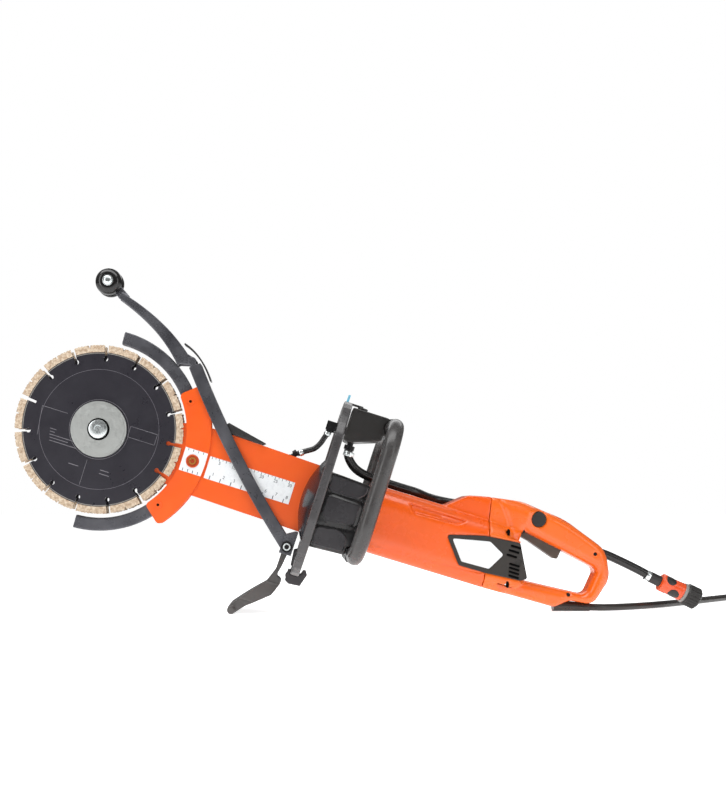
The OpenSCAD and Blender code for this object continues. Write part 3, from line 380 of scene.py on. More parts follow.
# %% Assign finishes
finish_of = {
    housing_nylon: ["motor_housing"],
    handle_nylon: ["rear_handle_near", "rear_handle_far"],
    coupler_nylon: ["hose_coupler"],
    casting_skin: ["gear_housing", "handle_mount"],
    gear_cover_nylon: ["gear_covers"],
    collar_nylon: ["shield_collar"],
    black_nylon: ["valve_body", "hose_clips", "switch_module", "cooling_fan", "lock_button"],
    panel_nylon: ["side_panels"],
    roller_rubber: ["guide_rollers"],
    arm_coat: ["arm_frame", "arm_cover_near", "arm_cover_far", "fork_plates", "arm_screws"],
    zinc_plate: ["blade_bolts"],
    black_oxide: ["pivot_bolt", "housing_screws", "water_fittings"],
    sheen_painted_grey: ["guard_fingers", "pivot_bracket", "guard_link", "roller_arm"],
    foot_coat: ["support_foot"],
    label_white: ["label_plates"],
    clear_sheet: ["splash_shield"],
    rim_rubber: ["shield_rim"],
    grey_sleeve: ["front_handle"],
    dark_coat: ["shield_clip"],
    hose_rubber: ["feed_hose", "supply_hose", "inlet_hose"],
    cord_rubber: ["cable_boot", "power_cord", "cord_coil", "plug"],
    soft_black: ["deflector", "drive_belt", "hinge_strap"],
    core_iron: ["stator"],
    copper: ["armature"],
    bright_steel: ["shaft_bearings", "spindle", "pulley_shaft", "crown_gear", "rotor_shaft"],
    pressed_brass: ["brush_gear"],
    plain_alloy: ["driven_pulley", "drive_pulley"],
    turned_alloy: ["clamp_flanges"],
    blade_core: ["blade_near", "blade_far"],
    segment_metal: ["blade_segments"],
    trigger_nylon: ["trigger"],
    black_nylon_lever: ["valve_lever"],
}
finish_for = {node: finish for finish, names in finish_of.items() for node in names}
for node, part in nodes.items():
    part.data.materials.clear()
    part.data.materials.append(finish_for[node])
print("without a finish", sorted(set(nodes) - set(finish_for)))

# %% [markdown]
# ## New pieces
# A new piece is a mesh with its place in its vertices. One function makes it, rides it on its body and
# says which part it stands for and which finish slot it has.

# %% Making a piece
bodies = frame["record"]["behaviour"]["bodies"]
body_of_node = {node: body for body, names in bodies.items() for node in names}


def settle(piece, finish, body, stands_for=()):
    """The piece rides on its body, has its finish and slot, and hides the parts it stands for."""
    piece.data.materials.clear()
    piece.data.materials.append(finish)
    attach(piece, body)
    if stands_for:
        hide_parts(*stands_for)
    return piece


def mesh_piece(name, vertices, faces, smooth=True):
    """An object at the origin from an array of places and a list of faces."""
    data = bpy.data.meshes.new(name)
    data.from_pydata(np.reshape(vertices, (-1, 3)).tolist(), [], [list(map(int, f)) for f in faces])
    data.polygons.foreach_set("use_smooth", np.full(len(data.polygons), smooth))
    data.update()
    piece = bpy.data.objects.new(name, data)
    bpy.context.scene.collection.objects.link(piece)
    return piece


def grid_faces(rows, columns, closed_rows=False, closed_columns=True):
    """Quads between neighbours on a grid of rows x columns places, joined round where it is closed."""
    r = np.arange(rows if closed_rows else rows - 1)[:, None]
    c = np.arange(columns if closed_columns else columns - 1)[None, :]
    corner = lambda i, j: (i % rows) * columns + j % columns
    return np.stack([corner(r, c), corner(r + 1, c), corner(r + 1, c + 1), corner(r, c + 1)], -1).reshape(-1, 4)


# %% [markdown]
# ## Cords first
# The power cord and the water inlet hose lie free on the floor, so each is one smooth curve of its real
# length and thickness. The cord leaves the boot, runs back along the floor, is wound into a round coil
# of nearly five turns in two layers, and ends at its plug. The route's points are given in millimetres.


# %% A cord along a route
def along_points(points, step=4.0):
    """A Catmull-Rom curve: between p1 and p2 it is 0.5 (2 p1 + (p2 - p0) t + (2 p0 - 5 p1 + 4 p2 - p3) t^2
    + (3 p1 - p0 - 3 p2 + p3) t^3), with points about step millimetres apart."""
    p = np.asarray(points, float)
    p = np.vstack([2 * p[0] - p[1], p, 2 * p[-1] - p[-2]])
    out = []
    for a, b, c, d in zip(p[:-3], p[1:-2], p[2:-1], p[3:]):
        t = np.linspace(0, 1, max(2, int(np.linalg.norm(c - b) / step)), endpoint=False)[:, None]
        out.append(0.5 * (2 * b + (c - a) * t + (2 * a - 5 * b + 4 * c - d) * t**2
                          + (3 * b - a - 3 * c + d) * t**3))
    return np.vstack([*out, p[-2:-1]])


def laid_curve(name, points_mm, diameter_mm):
    """An open spline through places in millimetres, with a round bevel of half the diameter."""
    data = bpy.data.curves.new(name, "CURVE")
    data.dimensions = "3D"
    data.bevel_depth = diameter_mm / 2 * MM
    data.bevel_resolution = 6
    data.use_fill_caps = True
    spline = data.splines.new("POLY")
    spline.points.add(len(points_mm) - 1)
    spline.points.foreach_set("co", np.c_[np.asarray(points_mm) * MM, np.ones(len(points_mm))].ravel())
    spline.use_smooth = True
    piece = bpy.data.objects.new(name, data)
    bpy.context.scene.collection.objects.link(piece)
    return piece


def length_of(points_mm):
    """The sum of the distances between neighbours, in metres."""
    return float(np.linalg.norm(np.diff(points_mm, axis=0), axis=1).sum() * MM)


# %% The power cord
CORD_D = 9.5
CORD_Z = CORD_D / 2 + 0.05
COIL_AT = (740.0, 180.0)
COIL_R = 64.5
boot_end = [379.7, 0, 5.55]
route = [boot_end, [390, 0, 5.3], [402, 2, 5], [430, 12, CORD_Z], [460, 27, CORD_Z], [490, 46, CORD_Z],
         [520, 68, CORD_Z], [550, 92, CORD_Z], [580, 117, CORD_Z], [610, 142, CORD_Z], [640, 168, CORD_Z],
         [662, 189, CORD_Z], [675, 203, CORD_Z]]
tail = [[716, 114.5, 11], [704, 111, 8], [688, 100, 6.5], [678, 84, 8], [675, 66, 12], [675, 54, 16]]


def ease(t):
    """0 before 0, 1 after 1, and 3t^2 - 2t^3 between."""
    t = np.clip(t, 0, 1)
    return t * t * (3 - 2 * t)


def coil(first=150, turns=4.7, steps=48):
    """Clockwise turns. On the floor the radius drops one diameter near the end of each turn, on the
    second layer it grows again, and the height rises one diameter between the layers."""
    turn = np.linspace(0, turns, int(turns * steps))
    angle = np.radians(first) - 2 * np.pi * turn
    inward = ease((turn - 0.83) / 0.17) + ease((turn - 1.83) / 0.17)
    outward = ease((turn - 3.5) / 0.16) + ease((turn - 4.5) / 0.16)
    radius = COIL_R + CORD_D * (outward - inward)
    z = CORD_Z + CORD_D * ease((turn - 2.66) / 0.17)
    return np.c_[COIL_AT[0] + radius * np.cos(angle), COIL_AT[1] + radius * np.sin(angle), z]


turns = coil()
cord_points = np.vstack([along_points([*route, turns[0]])[:-1], turns[:-1], along_points([turns[-1], *tail])])
power_cord = laid_curve("mains_cord", cord_points, CORD_D)
settle(power_cord, cord_rubber, "frame", ["power_cord", "cord_coil"])

# %% The water inlet hose
HOSE_D = 12
hose_exit = machine(363.0, 26.0, 46.5) / MM
coupler_tilt = math.radians(25.5)
coupler_start = np.array([478, 22, 65 * math.sin(coupler_tilt) + 15.5 * math.cos(coupler_tilt)])
inlet_points = along_points([hose_exit, [410, 26, 76.5], [432, 25, 66.5], [456, 23.5, 54.5], coupler_start])
inlet_hose = laid_curve("water_inlet_hose", inlet_points, HOSE_D)
settle(inlet_hose, hose_rubber, "frame", ["inlet_hose"])
print("inlet hose", round(length_of(inlet_points), 3), "m")

# %% [markdown]
# ## Held hoses
# The supply hose runs from under the water valve, past the motor and along the far side of the handle, and
# the thin feed hose drops from the valve's nose to the arm. Both are held all the way, so each is one
# smooth curve along its real route.

# %% Supply hose and feed hose
supply_route = [[-8, 0, 76], [-6, 0, 68], [2, 1, 59], [14, 3, 52.5], [34, 6, 49.5], [70, 10, 49], [98, 15, 49.5],
                [115, 26, 48.5], [130, 36, 49], [150, 39, 51], [180, 40, 56], [205, 39, 61], [230, 38, 62.5],
                [252, 36, 62.5], [276, 30, 62.5], [300, 26.5, 60.5], [335, 26, 54], [352, 26, 50], [363, 26, 46.5]]
feed_route = [[-40, 0, 94], [-44, 0, 84], [-47, 0, 74], [-53, 0, 64], [-64, 0, 56.5], [-73, 0, 50]]
for name, held_route, thick in (("supply_hose", supply_route, HOSE_D), ("feed_hose", feed_route, 7.5)):
    u, y, b = along_points(held_route, 3.0).T
    hose = laid_curve(name + "_smooth", machine(u, y, b) / MM, thick)
    settle(hose, hose_rubber, "frame", [name])

# %% [markdown]
# ## Turned pieces
# A turned piece is a profile carried round an axis. It is one grid of places: rows along, columns round.


# %% Turned surfaces
MERGE_WITHIN = 0.001 * MM


def tidy_shell(piece):
    """Merges doubled places, such as the poles of a turned piece, and turns every face outwards."""
    shell = bmesh.new()
    shell.from_mesh(piece.data)
    bmesh.ops.remove_doubles(shell, verts=shell.verts, dist=MERGE_WITHIN)
    bmesh.ops.recalc_face_normals(shell, faces=shell.faces)
    shell.to_mesh(piece.data)
    shell.free()
    return piece


def turned(name, origin, axis, profile, wobble=None, columns=96, ring=False, crease=35):
    """Place = origin + axis * h + (side cos a + other sin a) * r, for each profile point (h, r) and angle
    a, all in millimetres. wobble adds to the radius as a function of h and a. A ring's profile is closed."""
    axis = np.asarray(axis, float) / np.linalg.norm(axis)
    side = np.cross(axis, [0.31, 0.2, 0.93])
    side /= np.linalg.norm(side)
    other = np.cross(axis, side)
    h, r = (np.array(v, float)[:, None] for v in zip(*profile))
    a = np.linspace(0, 2 * np.pi, columns, endpoint=False)[None, :]
    radius = np.broadcast_to(r, (len(h), columns)) + (0 if wobble is None else wobble(h, a))
    round_it = np.cos(a)[..., None] * side + np.sin(a)[..., None] * other
    places = np.asarray(origin, float) + (h[..., None] * axis + radius[..., None] * round_it) * MM
    piece = tidy_shell(mesh_piece(name, places, grid_faces(len(h), columns, closed_rows=ring)))
    piece.data.set_sharp_from_angle(angle=math.radians(crease))
    return piece


def rounded_corners(corners, steps=6):
    """Corners (x, y, e): each is cut back by e on both sides and joined by (1-t)^2 a + 2t(1-t) b + t^2 c."""
    corners = np.array([(*c, 0)[:3] for c in corners], float)
    out = []
    for before, b, after in zip(np.roll(corners, 1, 0), corners, np.roll(corners, -1, 0)):
        if b[2] == 0:
            out.append(b[None, :2])
            continue
        a = b[:2] + (before[:2] - b[:2]) / np.linalg.norm(before[:2] - b[:2]) * b[2]
        c = b[:2] + (after[:2] - b[:2]) / np.linalg.norm(after[:2] - b[:2]) * b[2]
        t = np.linspace(0, 1, steps)[:, None]
        out.append((1 - t) ** 2 * a + 2 * t * (1 - t) * b[:2] + t * t * c)
    return np.vstack(out)


# %% [markdown]
# ## Flat pieces with an eased edge
# Badges, pads, louvre floors, scale marks and blade segments are all flat outlines with a thickness. Each
# is three rings of places: the back edge, the front edge, and the front face drawn in by the chamfer.


# %% Flat pieces
def drawn_in(outline, amount):
    """The outline moved inwards: each corner goes along the sum of its two edge normals / (1 + their dot)."""
    p = np.asarray(outline, float)
    area = 0.5 * np.sum(p[:, 0] * np.roll(p[:, 1], -1) - np.roll(p[:, 0], -1) * p[:, 1])
    edge = np.roll(p, -1, 0) - p
    edge /= np.maximum(np.linalg.norm(edge, axis=1, keepdims=True), 1e-9)
    normal = np.c_[-edge[:, 1], edge[:, 0]] * np.sign(area)
    last = np.roll(normal, 1, 0)
    return p + amount * (normal + last) / np.maximum(0.4, 1 + (normal * last).sum(1, keepdims=True))


def flat_piece(name, outlines, low, high, chamfer=0.4, sides=(-1, 1)):
    """Outlines in (u, b), standing from |y| = low to high on the near side, the far side or both."""
    places, faces, count = [], [], 0
    for outline in outlines:
        ring = np.asarray(outline, float)
        inner = drawn_in(ring, chamfer)
        n = len(ring)
        for side in sides:
            for points, y in ((ring, low), (ring, high - chamfer), (inner, high)):
                places.append(machine(points[:, 0], np.full(n, side * y), points[:, 1]))
            faces += (grid_faces(3, n) + count).tolist()
            faces.append(list(range(count, count + n)))
            faces.append(list(range(count + 2 * n, count + 3 * n)))
            count += 3 * n
    return tidy_shell(mesh_piece(name, np.vstack(places), faces, smooth=False))


def arc_spot(u, b, radius, steps=32):
    """A circle of places round (u, b)."""
    a = np.linspace(0, 2 * np.pi, steps, endpoint=False)
    return np.c_[u + radius * np.cos(a), b + radius * np.sin(a)]


def arc_points(radius, first, last, steps):
    """Places (u, b) at that radius round the blade axis, between two angles in degrees."""
    a = np.radians(np.linspace(first, last, steps))
    return np.c_[radius * np.cos(a) - ARM_LENGTH, radius * np.sin(a)]


# %% [markdown]
# ## Softened mouldings
# No moulded or cast piece has a knife edge. A copy of the part is filled with small cells, 1 to 1.5 mm
# wide, and its surface is drawn again round them and smoothed a few times: every edge becomes a fillet,
# and highlights run round it. Flat thin plates keep their own crisp shape.


# %% Soften a copy of a part
def softened(node, cell, rounds):
    """A copy of a part, remeshed in cells of that size in millimetres and smoothed that many times."""
    source = nodes[node]
    data = source.data.copy()
    piece = bpy.data.objects.new("soft_" + node, data)
    bpy.context.scene.collection.objects.link(piece)
    weld = piece.modifiers.new("weld", "WELD")
    weld.merge_threshold = 1e-5
    cells = piece.modifiers.new("cells", "REMESH")
    cells.mode = "VOXEL"
    cells.voxel_size = cell * MM
    cells.use_smooth_shade = True
    if rounds:
        ease_edges = piece.modifiers.new("ease", "SMOOTH")
        ease_edges.factor = 0.5
        ease_edges.iterations = rounds
    bpy.context.view_layer.update()
    ready = piece.evaluated_get(bpy.context.evaluated_depsgraph_get())
    done = bpy.data.meshes.new_from_object(ready)
    piece.modifiers.clear()
    piece.data = done
    bpy.data.meshes.remove(data)
    settle(piece, finish_for[node], body_of_node[node], [node])
    print(piece.name, len(done.polygons), "faces")
    return piece


# %% [markdown]
# ## Pressing pockets, creases and round edges into a shell
# The distance of each vertex from an outline, worked out for all of them at once, drives every change: a
# pocket sinks where it is inside, a crease where it is near a line, and a grip is rounded where it is near
# the edge of its side face.


# %% Distances and pressing
def own_frame(places):
    """u, y and b in millimetres of places in metres: the inverse of machine()."""
    offset = (places - BLADE_AXIS) / MM
    return offset @ ALONG - ARM_LENGTH, offset[:, 1], offset @ UP


def distance_to(points, line, closed=True):
    """The least distance of each point from the segments of a line: |p - a - t (b - a)|, t held in 0..1."""
    a = np.asarray(line, float)
    b = np.roll(a, -1, 0)
    if not closed:
        a, b = a[:-1], b[:-1]
    best = np.full(len(points), np.inf)
    for start_at, end_at in zip(a, b):
        d = end_at - start_at
        t = np.clip((points - start_at) @ d / (d @ d), 0, 1)
        best = np.minimum(best, np.linalg.norm(points - start_at - t[:, None] * d, axis=1))
    return best


def inside(points, outline):
    """True where a ray from the point crosses the outline an odd number of times."""
    a = np.asarray(outline, float)
    odd = np.zeros(len(points), bool)
    for (x0, y0), (x1, y1) in zip(a, np.roll(a, -1, 0)):
        if y0 != y1:
            crosses = (y0 > points[:, 1]) != (y1 > points[:, 1])
            odd ^= crosses & (points[:, 0] < (x1 - x0) * (points[:, 1] - y0) / (y1 - y0) + x0)
    return odd


def vertex_places(data):
    """The vertices of a mesh as an array, one row of x, y and z for each."""
    co = np.empty(len(data.vertices) * 3)
    data.vertices.foreach_get("co", co)
    return co.reshape(-1, 3)


def reshape(piece, change):
    """Moves vertices across the machine: change(u, y, b) gives each one's new y in millimetres."""
    co = vertex_places(piece.data)
    co[:, 1] = change(*own_frame(co)) * MM
    piece.data.vertices.foreach_set("co", co.ravel())
    piece.data.update()


def pressed(outline, depth, edge, skin):
    """A pocket: |y| drops by depth inside the outline, over a slope that is edge wide, on the outer skin."""
    def change(u, y, b):
        points = np.c_[u, b]
        away = distance_to(points, outline) * np.where(inside(points, outline), 1, -1)
        drop = depth * ease(away / edge) * ease((np.abs(y) - skin) / 1.0)
        return y - np.sign(y) * drop
    return change


def creased(line, depth, width, skin):
    """A groove: |y| drops by depth * exp(-(distance / width)^2) along the line, on the outer skin."""
    def change(u, y, b):
        away = distance_to(np.c_[u, b], line, closed=False)
        return y - np.sign(y) * depth * np.exp(-((away / width) ** 2)) * ease((np.abs(y) - skin) / 1.0)
    return change


# %% Soften the mouldings and castings
SOFT_PARTS = {
    "motor_housing": (1.4, 6), "rear_handle_near": (1.2, 6), "rear_handle_far": (1.2, 6),
    "gear_housing": (1.6, 4), "gear_covers": (1.4, 4), "valve_body": (1.2, 5), "shield_collar": (1.4, 8),
    "trigger": (0.7, 5), "handle_mount": (1.2, 4), "support_foot": (1.0, 4), "guard_link": (0.9, 2),
    "roller_arm": (0.9, 2), "guard_fingers": (1.4, 3), "deflector": (0.8, 4), "shield_rim": (1.3, 5),
    "front_handle": (1.5, 8), "lock_button": (0.5, 3), "hose_clips": (0.7, 2), "side_panels": (0.6, 2),
    "shield_clip": (0.8, 2), "hinge_strap": (0.5, 1), "valve_lever": (0.4, 2), "pivot_bracket": (0.6, 2),
}
soft = {node: softened(node, *how) for node, how in SOFT_PARTS.items()}

# %% Shape the motor housing and the rear handle
SKIN = 44.0
pocket = rounded_corners([(84, 35.5, 3), (97, 18.5, 5), (161, 21.5, 6), (170, 31, 8), (186, 37.5, 3)])
reshape(soft["motor_housing"], pressed(pocket, 4.0, 2.4, SKIN - 3))
reshape(soft["motor_housing"], creased([(40, -36), (120, -36), (206, -30)], 0.9, 1.6, SKIN - 4))
handle_edge = rounded_corners([(216.4, -48), (322, -44.5, 4), (340, -29.5, 5), (372, -25.5, 12), (383, 16, 20),
                               (366, 51, 16), (300, 73.5, 26), (236, 79, 20), (194, 71.5)])
handle_opening = rounded_corners([(247, 42, 3), (246.5, 20, 6), (267, -22.5, 7), (357, -15.5, 9),
                                  (361.5, 22, 8), (308.5, 32, 10)])
GRIP_HALF = 19.0


def rounded_grip(u, y, b, radius=11.0):
    """|y| is scaled by (half - radius + sqrt(radius^2 - (radius - d)^2)) / half, where d is the distance
    from the side face's edge: the flat sides become a round grip."""
    points = np.c_[u, b]
    d = np.minimum(distance_to(points, handle_edge), distance_to(points, handle_opening))
    d = np.clip(d, 0, radius)
    share = (GRIP_HALF - radius + np.sqrt(radius**2 - (radius - d) ** 2)) / GRIP_HALF
    return y * (1 - ease((u - 236) / 30) * (1 - share))


for node in ("rear_handle_near", "rear_handle_far"):
    reshape(soft[node], rounded_grip)
    reshape(soft[node], creased([(205, 74), (222, 52), (240, 24)], 1.3, 2.2, 24))

# %% [markdown]
# ## Blade segments
# Each blade has fifteen sintered segments. The cutting rim is not smooth: small teeth and a notch in the
# middle let slurry out, so the outer edge is an arc whose radius jumps a little.

# %% Blade segments
SEGMENTS = 15
FIRST_SLOT = -66
BLADE_R = 115
CORE_R = 105


def segment_outline(index):
    """An arc at the core, and back along the rim with teeth: radius = rim - tooth(angle) - notch(angle)."""
    middle = FIRST_SLOT + (index + 0.5) * 360 / SEGMENTS
    half = 10.6
    steps = 48
    t = np.linspace(1, -1, steps)
    tooth = 0.45 * (np.sin(31 * t + 2.1 * index) > 0.2) + 0.35 * (np.sin(13 * t + 1.3 * index) > 0.4)
    notch = 3.4 * (np.abs(t) < 0.05)
    radius = (BLADE_R - 0.1 - tooth - notch)[:, None]
    a = np.radians(middle + half * t)[:, None]
    rim = np.c_[radius * np.cos(a) - ARM_LENGTH, radius * np.sin(a)]
    return np.vstack([arc_points(CORE_R, middle - half, middle + half, 12), rim])


segments = flat_piece("blade_segment_ring", [segment_outline(i) for i in range(SEGMENTS)], 8.0, 11.0, 0.25)
settle(segments, segment_metal, "blade_unit", ["blade_segments"])

# %% Blade bolt and a painted shadow ring round it
for side in (-1, 1):
    face = machine(-ARM_LENGTH, 0.0, 0.0) + side * ACROSS * 15.0 * MM
    bolt = turned(f"blade_bolt_{'far' if side > 0 else 'near'}", face, side * ACROSS,
                  [(-0.5, 0), (-0.5, 12.7), (3.6, 12.7), (4.6, 12.2), (5.0, 11.2), (5.0, 5.2), (3.4, 4.6), (3.4, 0)])
    settle(bolt, zinc_plate, "blade_unit", ["blade_bolts"] if side < 0 else ())
    # A flat ring of dead black round the bolt head is painted shadow where the flange sits in the blade.
    flat_ring = turned(f"bolt_shadow_ring_{'far' if side > 0 else 'near'}", face, side * ACROSS,
                    [(-0.2, 12.4), (0.5, 12.4), (0.5, 14.6), (0.2, 15.1), (-0.2, 15.1)], ring=True)
    settle(flat_ring, painted_shade_black, "blade_unit")

# %% Printed lines on the blade
def bar(u0, b0, u1, b1, half=0.28):
    """The four corners of a thin straight line between two places."""
    a, b = np.array([u0, b0], float), np.array([u1, b1], float)
    side = np.array([-(b - a)[1], (b - a)[0]]) / np.linalg.norm(b - a) * half
    return [a - side, b - side, b + side, a + side]


lines = [bar(-423, 8, -387, 8), bar(-423, 8, -418, -32), bar(-343, -44, -343, -80), bar(-300, 17, -262, 17),
         bar(-300, 2, -262, 2), bar(-300, 17, -300, 2), bar(-262, 17, -262, 2)]
small = [bar(-404 + i, -18 - 4 * i, -404 + i + n, -18 - 4 * i, 0.45) for i, n in enumerate((9, 7, 34, 26, 38))]
small += [bar(-322, -52, -310, -52, 0.5), bar(-322, -57, -308, -57, 0.5), bar(-366, -56, -352, -56, 0.5)]
print_face = float(np.abs(own_frame(vertex_places(nodes["blade_near"].data))[1]).max())
settle(flat_piece("blade_print", lines + small, print_face - 0.2, print_face + 0.06, 0.02, sides=(-1,)), print_grey,
       "blade_unit")

# %% [markdown]
# ## Guide rollers
# Two glossy rubber rollers on one bolt, with a washer between them and a plated bolt head outside.

# %% Guide rollers
ROLLER_R = 18.3
roller_axis = joint_at["roller_spin"]
for side in (-1, 1):
    where = "far" if side > 0 else "near"
    profile = rounded_corners([(5, 3.2), (5, ROLLER_R, 2.2), (11, ROLLER_R, 4), (17, 12.6, 4), (17, 3.2)], 8)
    roller = turned(f"guide_roller_{where}", roller_axis, side * ACROSS, profile, ring=True, crease=60)
    settle(roller, roller_rubber, "roller_unit", ["guide_rollers"] if side < 0 else ())
    head = turned(f"roller_bolt_{where}", roller_axis, side * ACROSS,
                  [(3.5, 0), (3.5, 3.1), (16.9, 3.1), (16.9, 7.4), (17.7, 7.4), (17.9, 6.0), (19.2, 5.8), (20.2, 4.8),
                   (20.5, 3.4), (19.6, 2.6), (19.6, 0)])
    settle(head, zinc_plate, "roller_unit")

# %% [markdown]
# ## Hose coupler and clamps
# A quick coupler: an orange sleeve with black finger pads, a grey ring and a knurled black nut. Thin
# plated clamps hold the hoses on their spigots.

# %% Hose coupler
coupler_axis = np.array([math.sin(math.pi / 2 + coupler_tilt), 0, math.cos(math.pi / 2 + coupler_tilt)])
coupler_at = coupler_start * MM
sleeve_profile = rounded_corners([(7, 7), (8, 12.6, 1.5), (16, 12.2, 3), (24, 11.6, 3), (33, 12.2, 3),
                                  (41, 12.6, 1.2), (41.5, 7)], 5)
sleeve = turned("coupler_sleeve", coupler_at, coupler_axis, sleeve_profile, ring=True)
settle(sleeve, coupler_nylon, "frame", ["hose_coupler"])
spigot = turned("coupler_spigot", coupler_at, coupler_axis,
                [(-9, 6.1), (-9, 7.0), (-8.4, 7.5), (8.5, 7.5), (8.5, 5.5), (-2, 5.5), (-2, 6.1)], ring=True)
settle(spigot, soft_black, "frame")
collar = turned("coupler_ring", coupler_at, coupler_axis,
                [(40.8, 6.6), (40.8, 12.9), (41.4, 13.5), (44.6, 13.5), (45.2, 12.9), (45.2, 6.6)], ring=True)
settle(collar, plain_grey, "frame")
NUT_RIBS = 22


def ribbed(h, a):
    """Ribs half a millimetre high with steep sides, 0.5 tanh(3 cos(22 a)), on the nut's straight stretch."""
    return ((h > 46.9) & (h < 63)) * 0.5 * np.tanh(3 * np.cos(NUT_RIBS * a))


nut_profile = [(45, 6.5), (45, 13.6), (46.5, 14.7), (47, 14.9), (52, 14.9), (57, 14.9), (62.6, 14.9), (63.4, 14.4),
               (65, 12.6), (65, 6.5), (55, 6.5)]
nut = turned("coupler_nut", coupler_at, coupler_axis, nut_profile, wobble=ribbed, columns=12 * NUT_RIBS, ring=True)
settle(nut, black_nylon, "frame")


def finger_pad(name, angle, middle=24.5, long=8.6, wide=8.4, proud=1.9):
    """A domed oval on the sleeve: at (s, f) the place is middle + long s cos f along and wide s sin f
    round it, and the height is proud * sqrt(1 - s^2)."""
    side = np.cross(coupler_axis, ACROSS)
    s = np.linspace(0, 1, 8)[:, None]
    f = np.linspace(0, 2 * np.pi, 40, endpoint=False)[None, :]
    h = middle + long * s * np.cos(f)
    turn = angle + wide * s * np.sin(f) / 12
    r = 11.4 + proud * np.sqrt(np.maximum(0, 1 - s * s)) + 0 * f
    out = np.cos(turn)[..., None] * -ACROSS + np.sin(turn)[..., None] * side
    rings = coupler_at + (h[..., None] * coupler_axis + r[..., None] * out) * MM
    back = coupler_at + (h[-1][..., None] * coupler_axis + 10.0 * out[-1]) * MM
    faces = grid_faces(9, 40).tolist() + [list(range(8 * 40, 9 * 40))]
    pad = tidy_shell(mesh_piece(name, np.vstack([rings.reshape(-1, 3), back]), faces))
    return settle(pad, black_nylon, "frame")


for index, (angle, middle) in enumerate(((-48, 29), (42, 18), (132, 29), (222, 18))):
    finger_pad(f"finger_pad_{index + 1}", math.radians(angle), middle)


# %% Hose clamps
def clamp(name, at, axis, hose_r, finish, width=6.5):
    """A band round a hose with a small raised ear on one side."""
    half = width / 2
    ear = lambda h, a: (np.abs(h) < half * 0.8) * 1.4 * np.exp(-(((a - np.pi) / 0.22) ** 2))
    band = turned(name, at, axis, [(-half, hose_r - 0.3), (-half, hose_r + 0.8), (-half * 0.7, hose_r + 1.1),
                                   (half * 0.7, hose_r + 1.1), (half, hose_r + 0.8), (half, hose_r - 0.3)],
                  wobble=ear, ring=True)
    return settle(band, finish, "frame")


clamp("inlet_clamp", coupler_at - coupler_axis * 11.5 * MM, coupler_axis, HOSE_D / 2 + 0.2, zinc_plate)
clamp("supply_clamp", machine(-6.6, 0.0, 70.5), UP, HOSE_D / 2, zinc_plate)
clamp("feed_clamp", machine(-42.2, 0.0, 88.5), 0.35 * ALONG + UP, 3.75, zinc_plate, 5)
clamp("nipple_clamp", machine(-68.5, 0.0, 53.2), ALONG + 0.73 * UP, 3.75, zinc_plate, 5)

# %% [markdown]
# ## Flat details on the body
# White badges, louvre floors and screw recesses filled with flat black painted shade, raised pads on the
# gear cover and a scale plate with ticks and plain numbers.

# %% Panels, recesses and pads
def slot_outline(u, b, half_long, half_tall, lean=0.0, corner=0.9):
    """A rounded slot round (u, b), whose top edge is moved back by 2 lean."""
    corners = ((lean - half_long, -half_tall), (lean + half_long, -half_tall), (half_long - lean, half_tall),
               (-half_long - lean, half_tall))
    return rounded_corners([(u + x, b + y, corner) for x, y in corners], 4)


louvres = [(241 - n, 17 - 6.5 * n) for n in range(3)] + [(246 + 1.2 * n, -6.5 - 5 * n) for n in range(4)]
floors = [slot_outline(u, b, 7, 1.3) for u, b in louvres]
# The louvre floors are painted shade: flat dead black plates in the slots.
settle(flat_piece("louvre_floors", floors, 44.4, 46.75, 0.05), painted_shade_black, "frame")
shell_u, shell_y, shell_b = own_frame(vertex_places(soft["rear_handle_near"].data))
for name, (u, b) in {"upper": (226.3, 32.4), "lower": (245, -34)}.items():
    skin = float(np.abs(shell_y[np.hypot(shell_u - u, shell_b - b) < 7]).max())
    print(name, "recess stands at", round(skin, 2))
    # Each screw recess holds a flat plate of dead black, painted shade in the slot.
    recess = flat_piece(f"screw_recess_{name}", [slot_outline(u, b, 1.6, 4.2, 1.2, 1.5)], skin - 3, skin + 0.15, 0.05)
    settle(recess, painted_shade_black, "frame")
pads = [
    rounded_corners([(-19, 35, 3), (-19, 14, 4), (20, 13, 6), (31, 22, 5), (31, 33, 3)]),
    rounded_corners([(-17, 8, 5), (-18, -20, 5), (-8, -27, 4), (27, -21, 5), (29, 7, 4)]),
    rounded_corners([(-19, -36, 5), (-19, -61, 4), (24, -58, 5), (24, -38, 6), (10, -31.5, 6)]),
]
settle(flat_piece("gear_cover_pads", pads, 49.2, 52.2, 1.3), casting_skin, "frame")

# %% Badge line
badge = [bar(190.5, 1.5, 222, 1.5, 0.35), bar(196, 7.5, 218, 7.5, 1.3), bar(206, -5.5, 219, -5.5, 0.9)]
settle(flat_piece("badge_marks", badge, 45.9, 46.9, 0.02), label_ink, "frame")

# %% Scale marks
PLATE_FACE = 7.6


def tick(u, low, high, wide):
    """One upright mark from u to u + wide."""
    return [(u, low), (u + wide, low), (u + wide, high), (u, high)]


ticks = [tick(-182 + 5 * n, 9.1 if n % 2 else 7.6, 10.8, 0.7) for n in range(24)]
ticks += [tick(-178 + 15 * n, -19.8, -14.6, 1.1) for n in range(8)]
fork_ticks = [mark for u in (-216, -209, -202, -195) for mark in (tick(u, 9.6, 12.6, 0.8), tick(u, -19, -15, 0.9))]
settle(flat_piece("scale_ticks", ticks, PLATE_FACE - 0.1, PLATE_FACE + 0.12, 0.02), label_ink, "frame")
settle(flat_piece("fork_ticks", fork_ticks, 10.0, 10.22, 0.02, sides=(-1,)), label_ink, "frame")


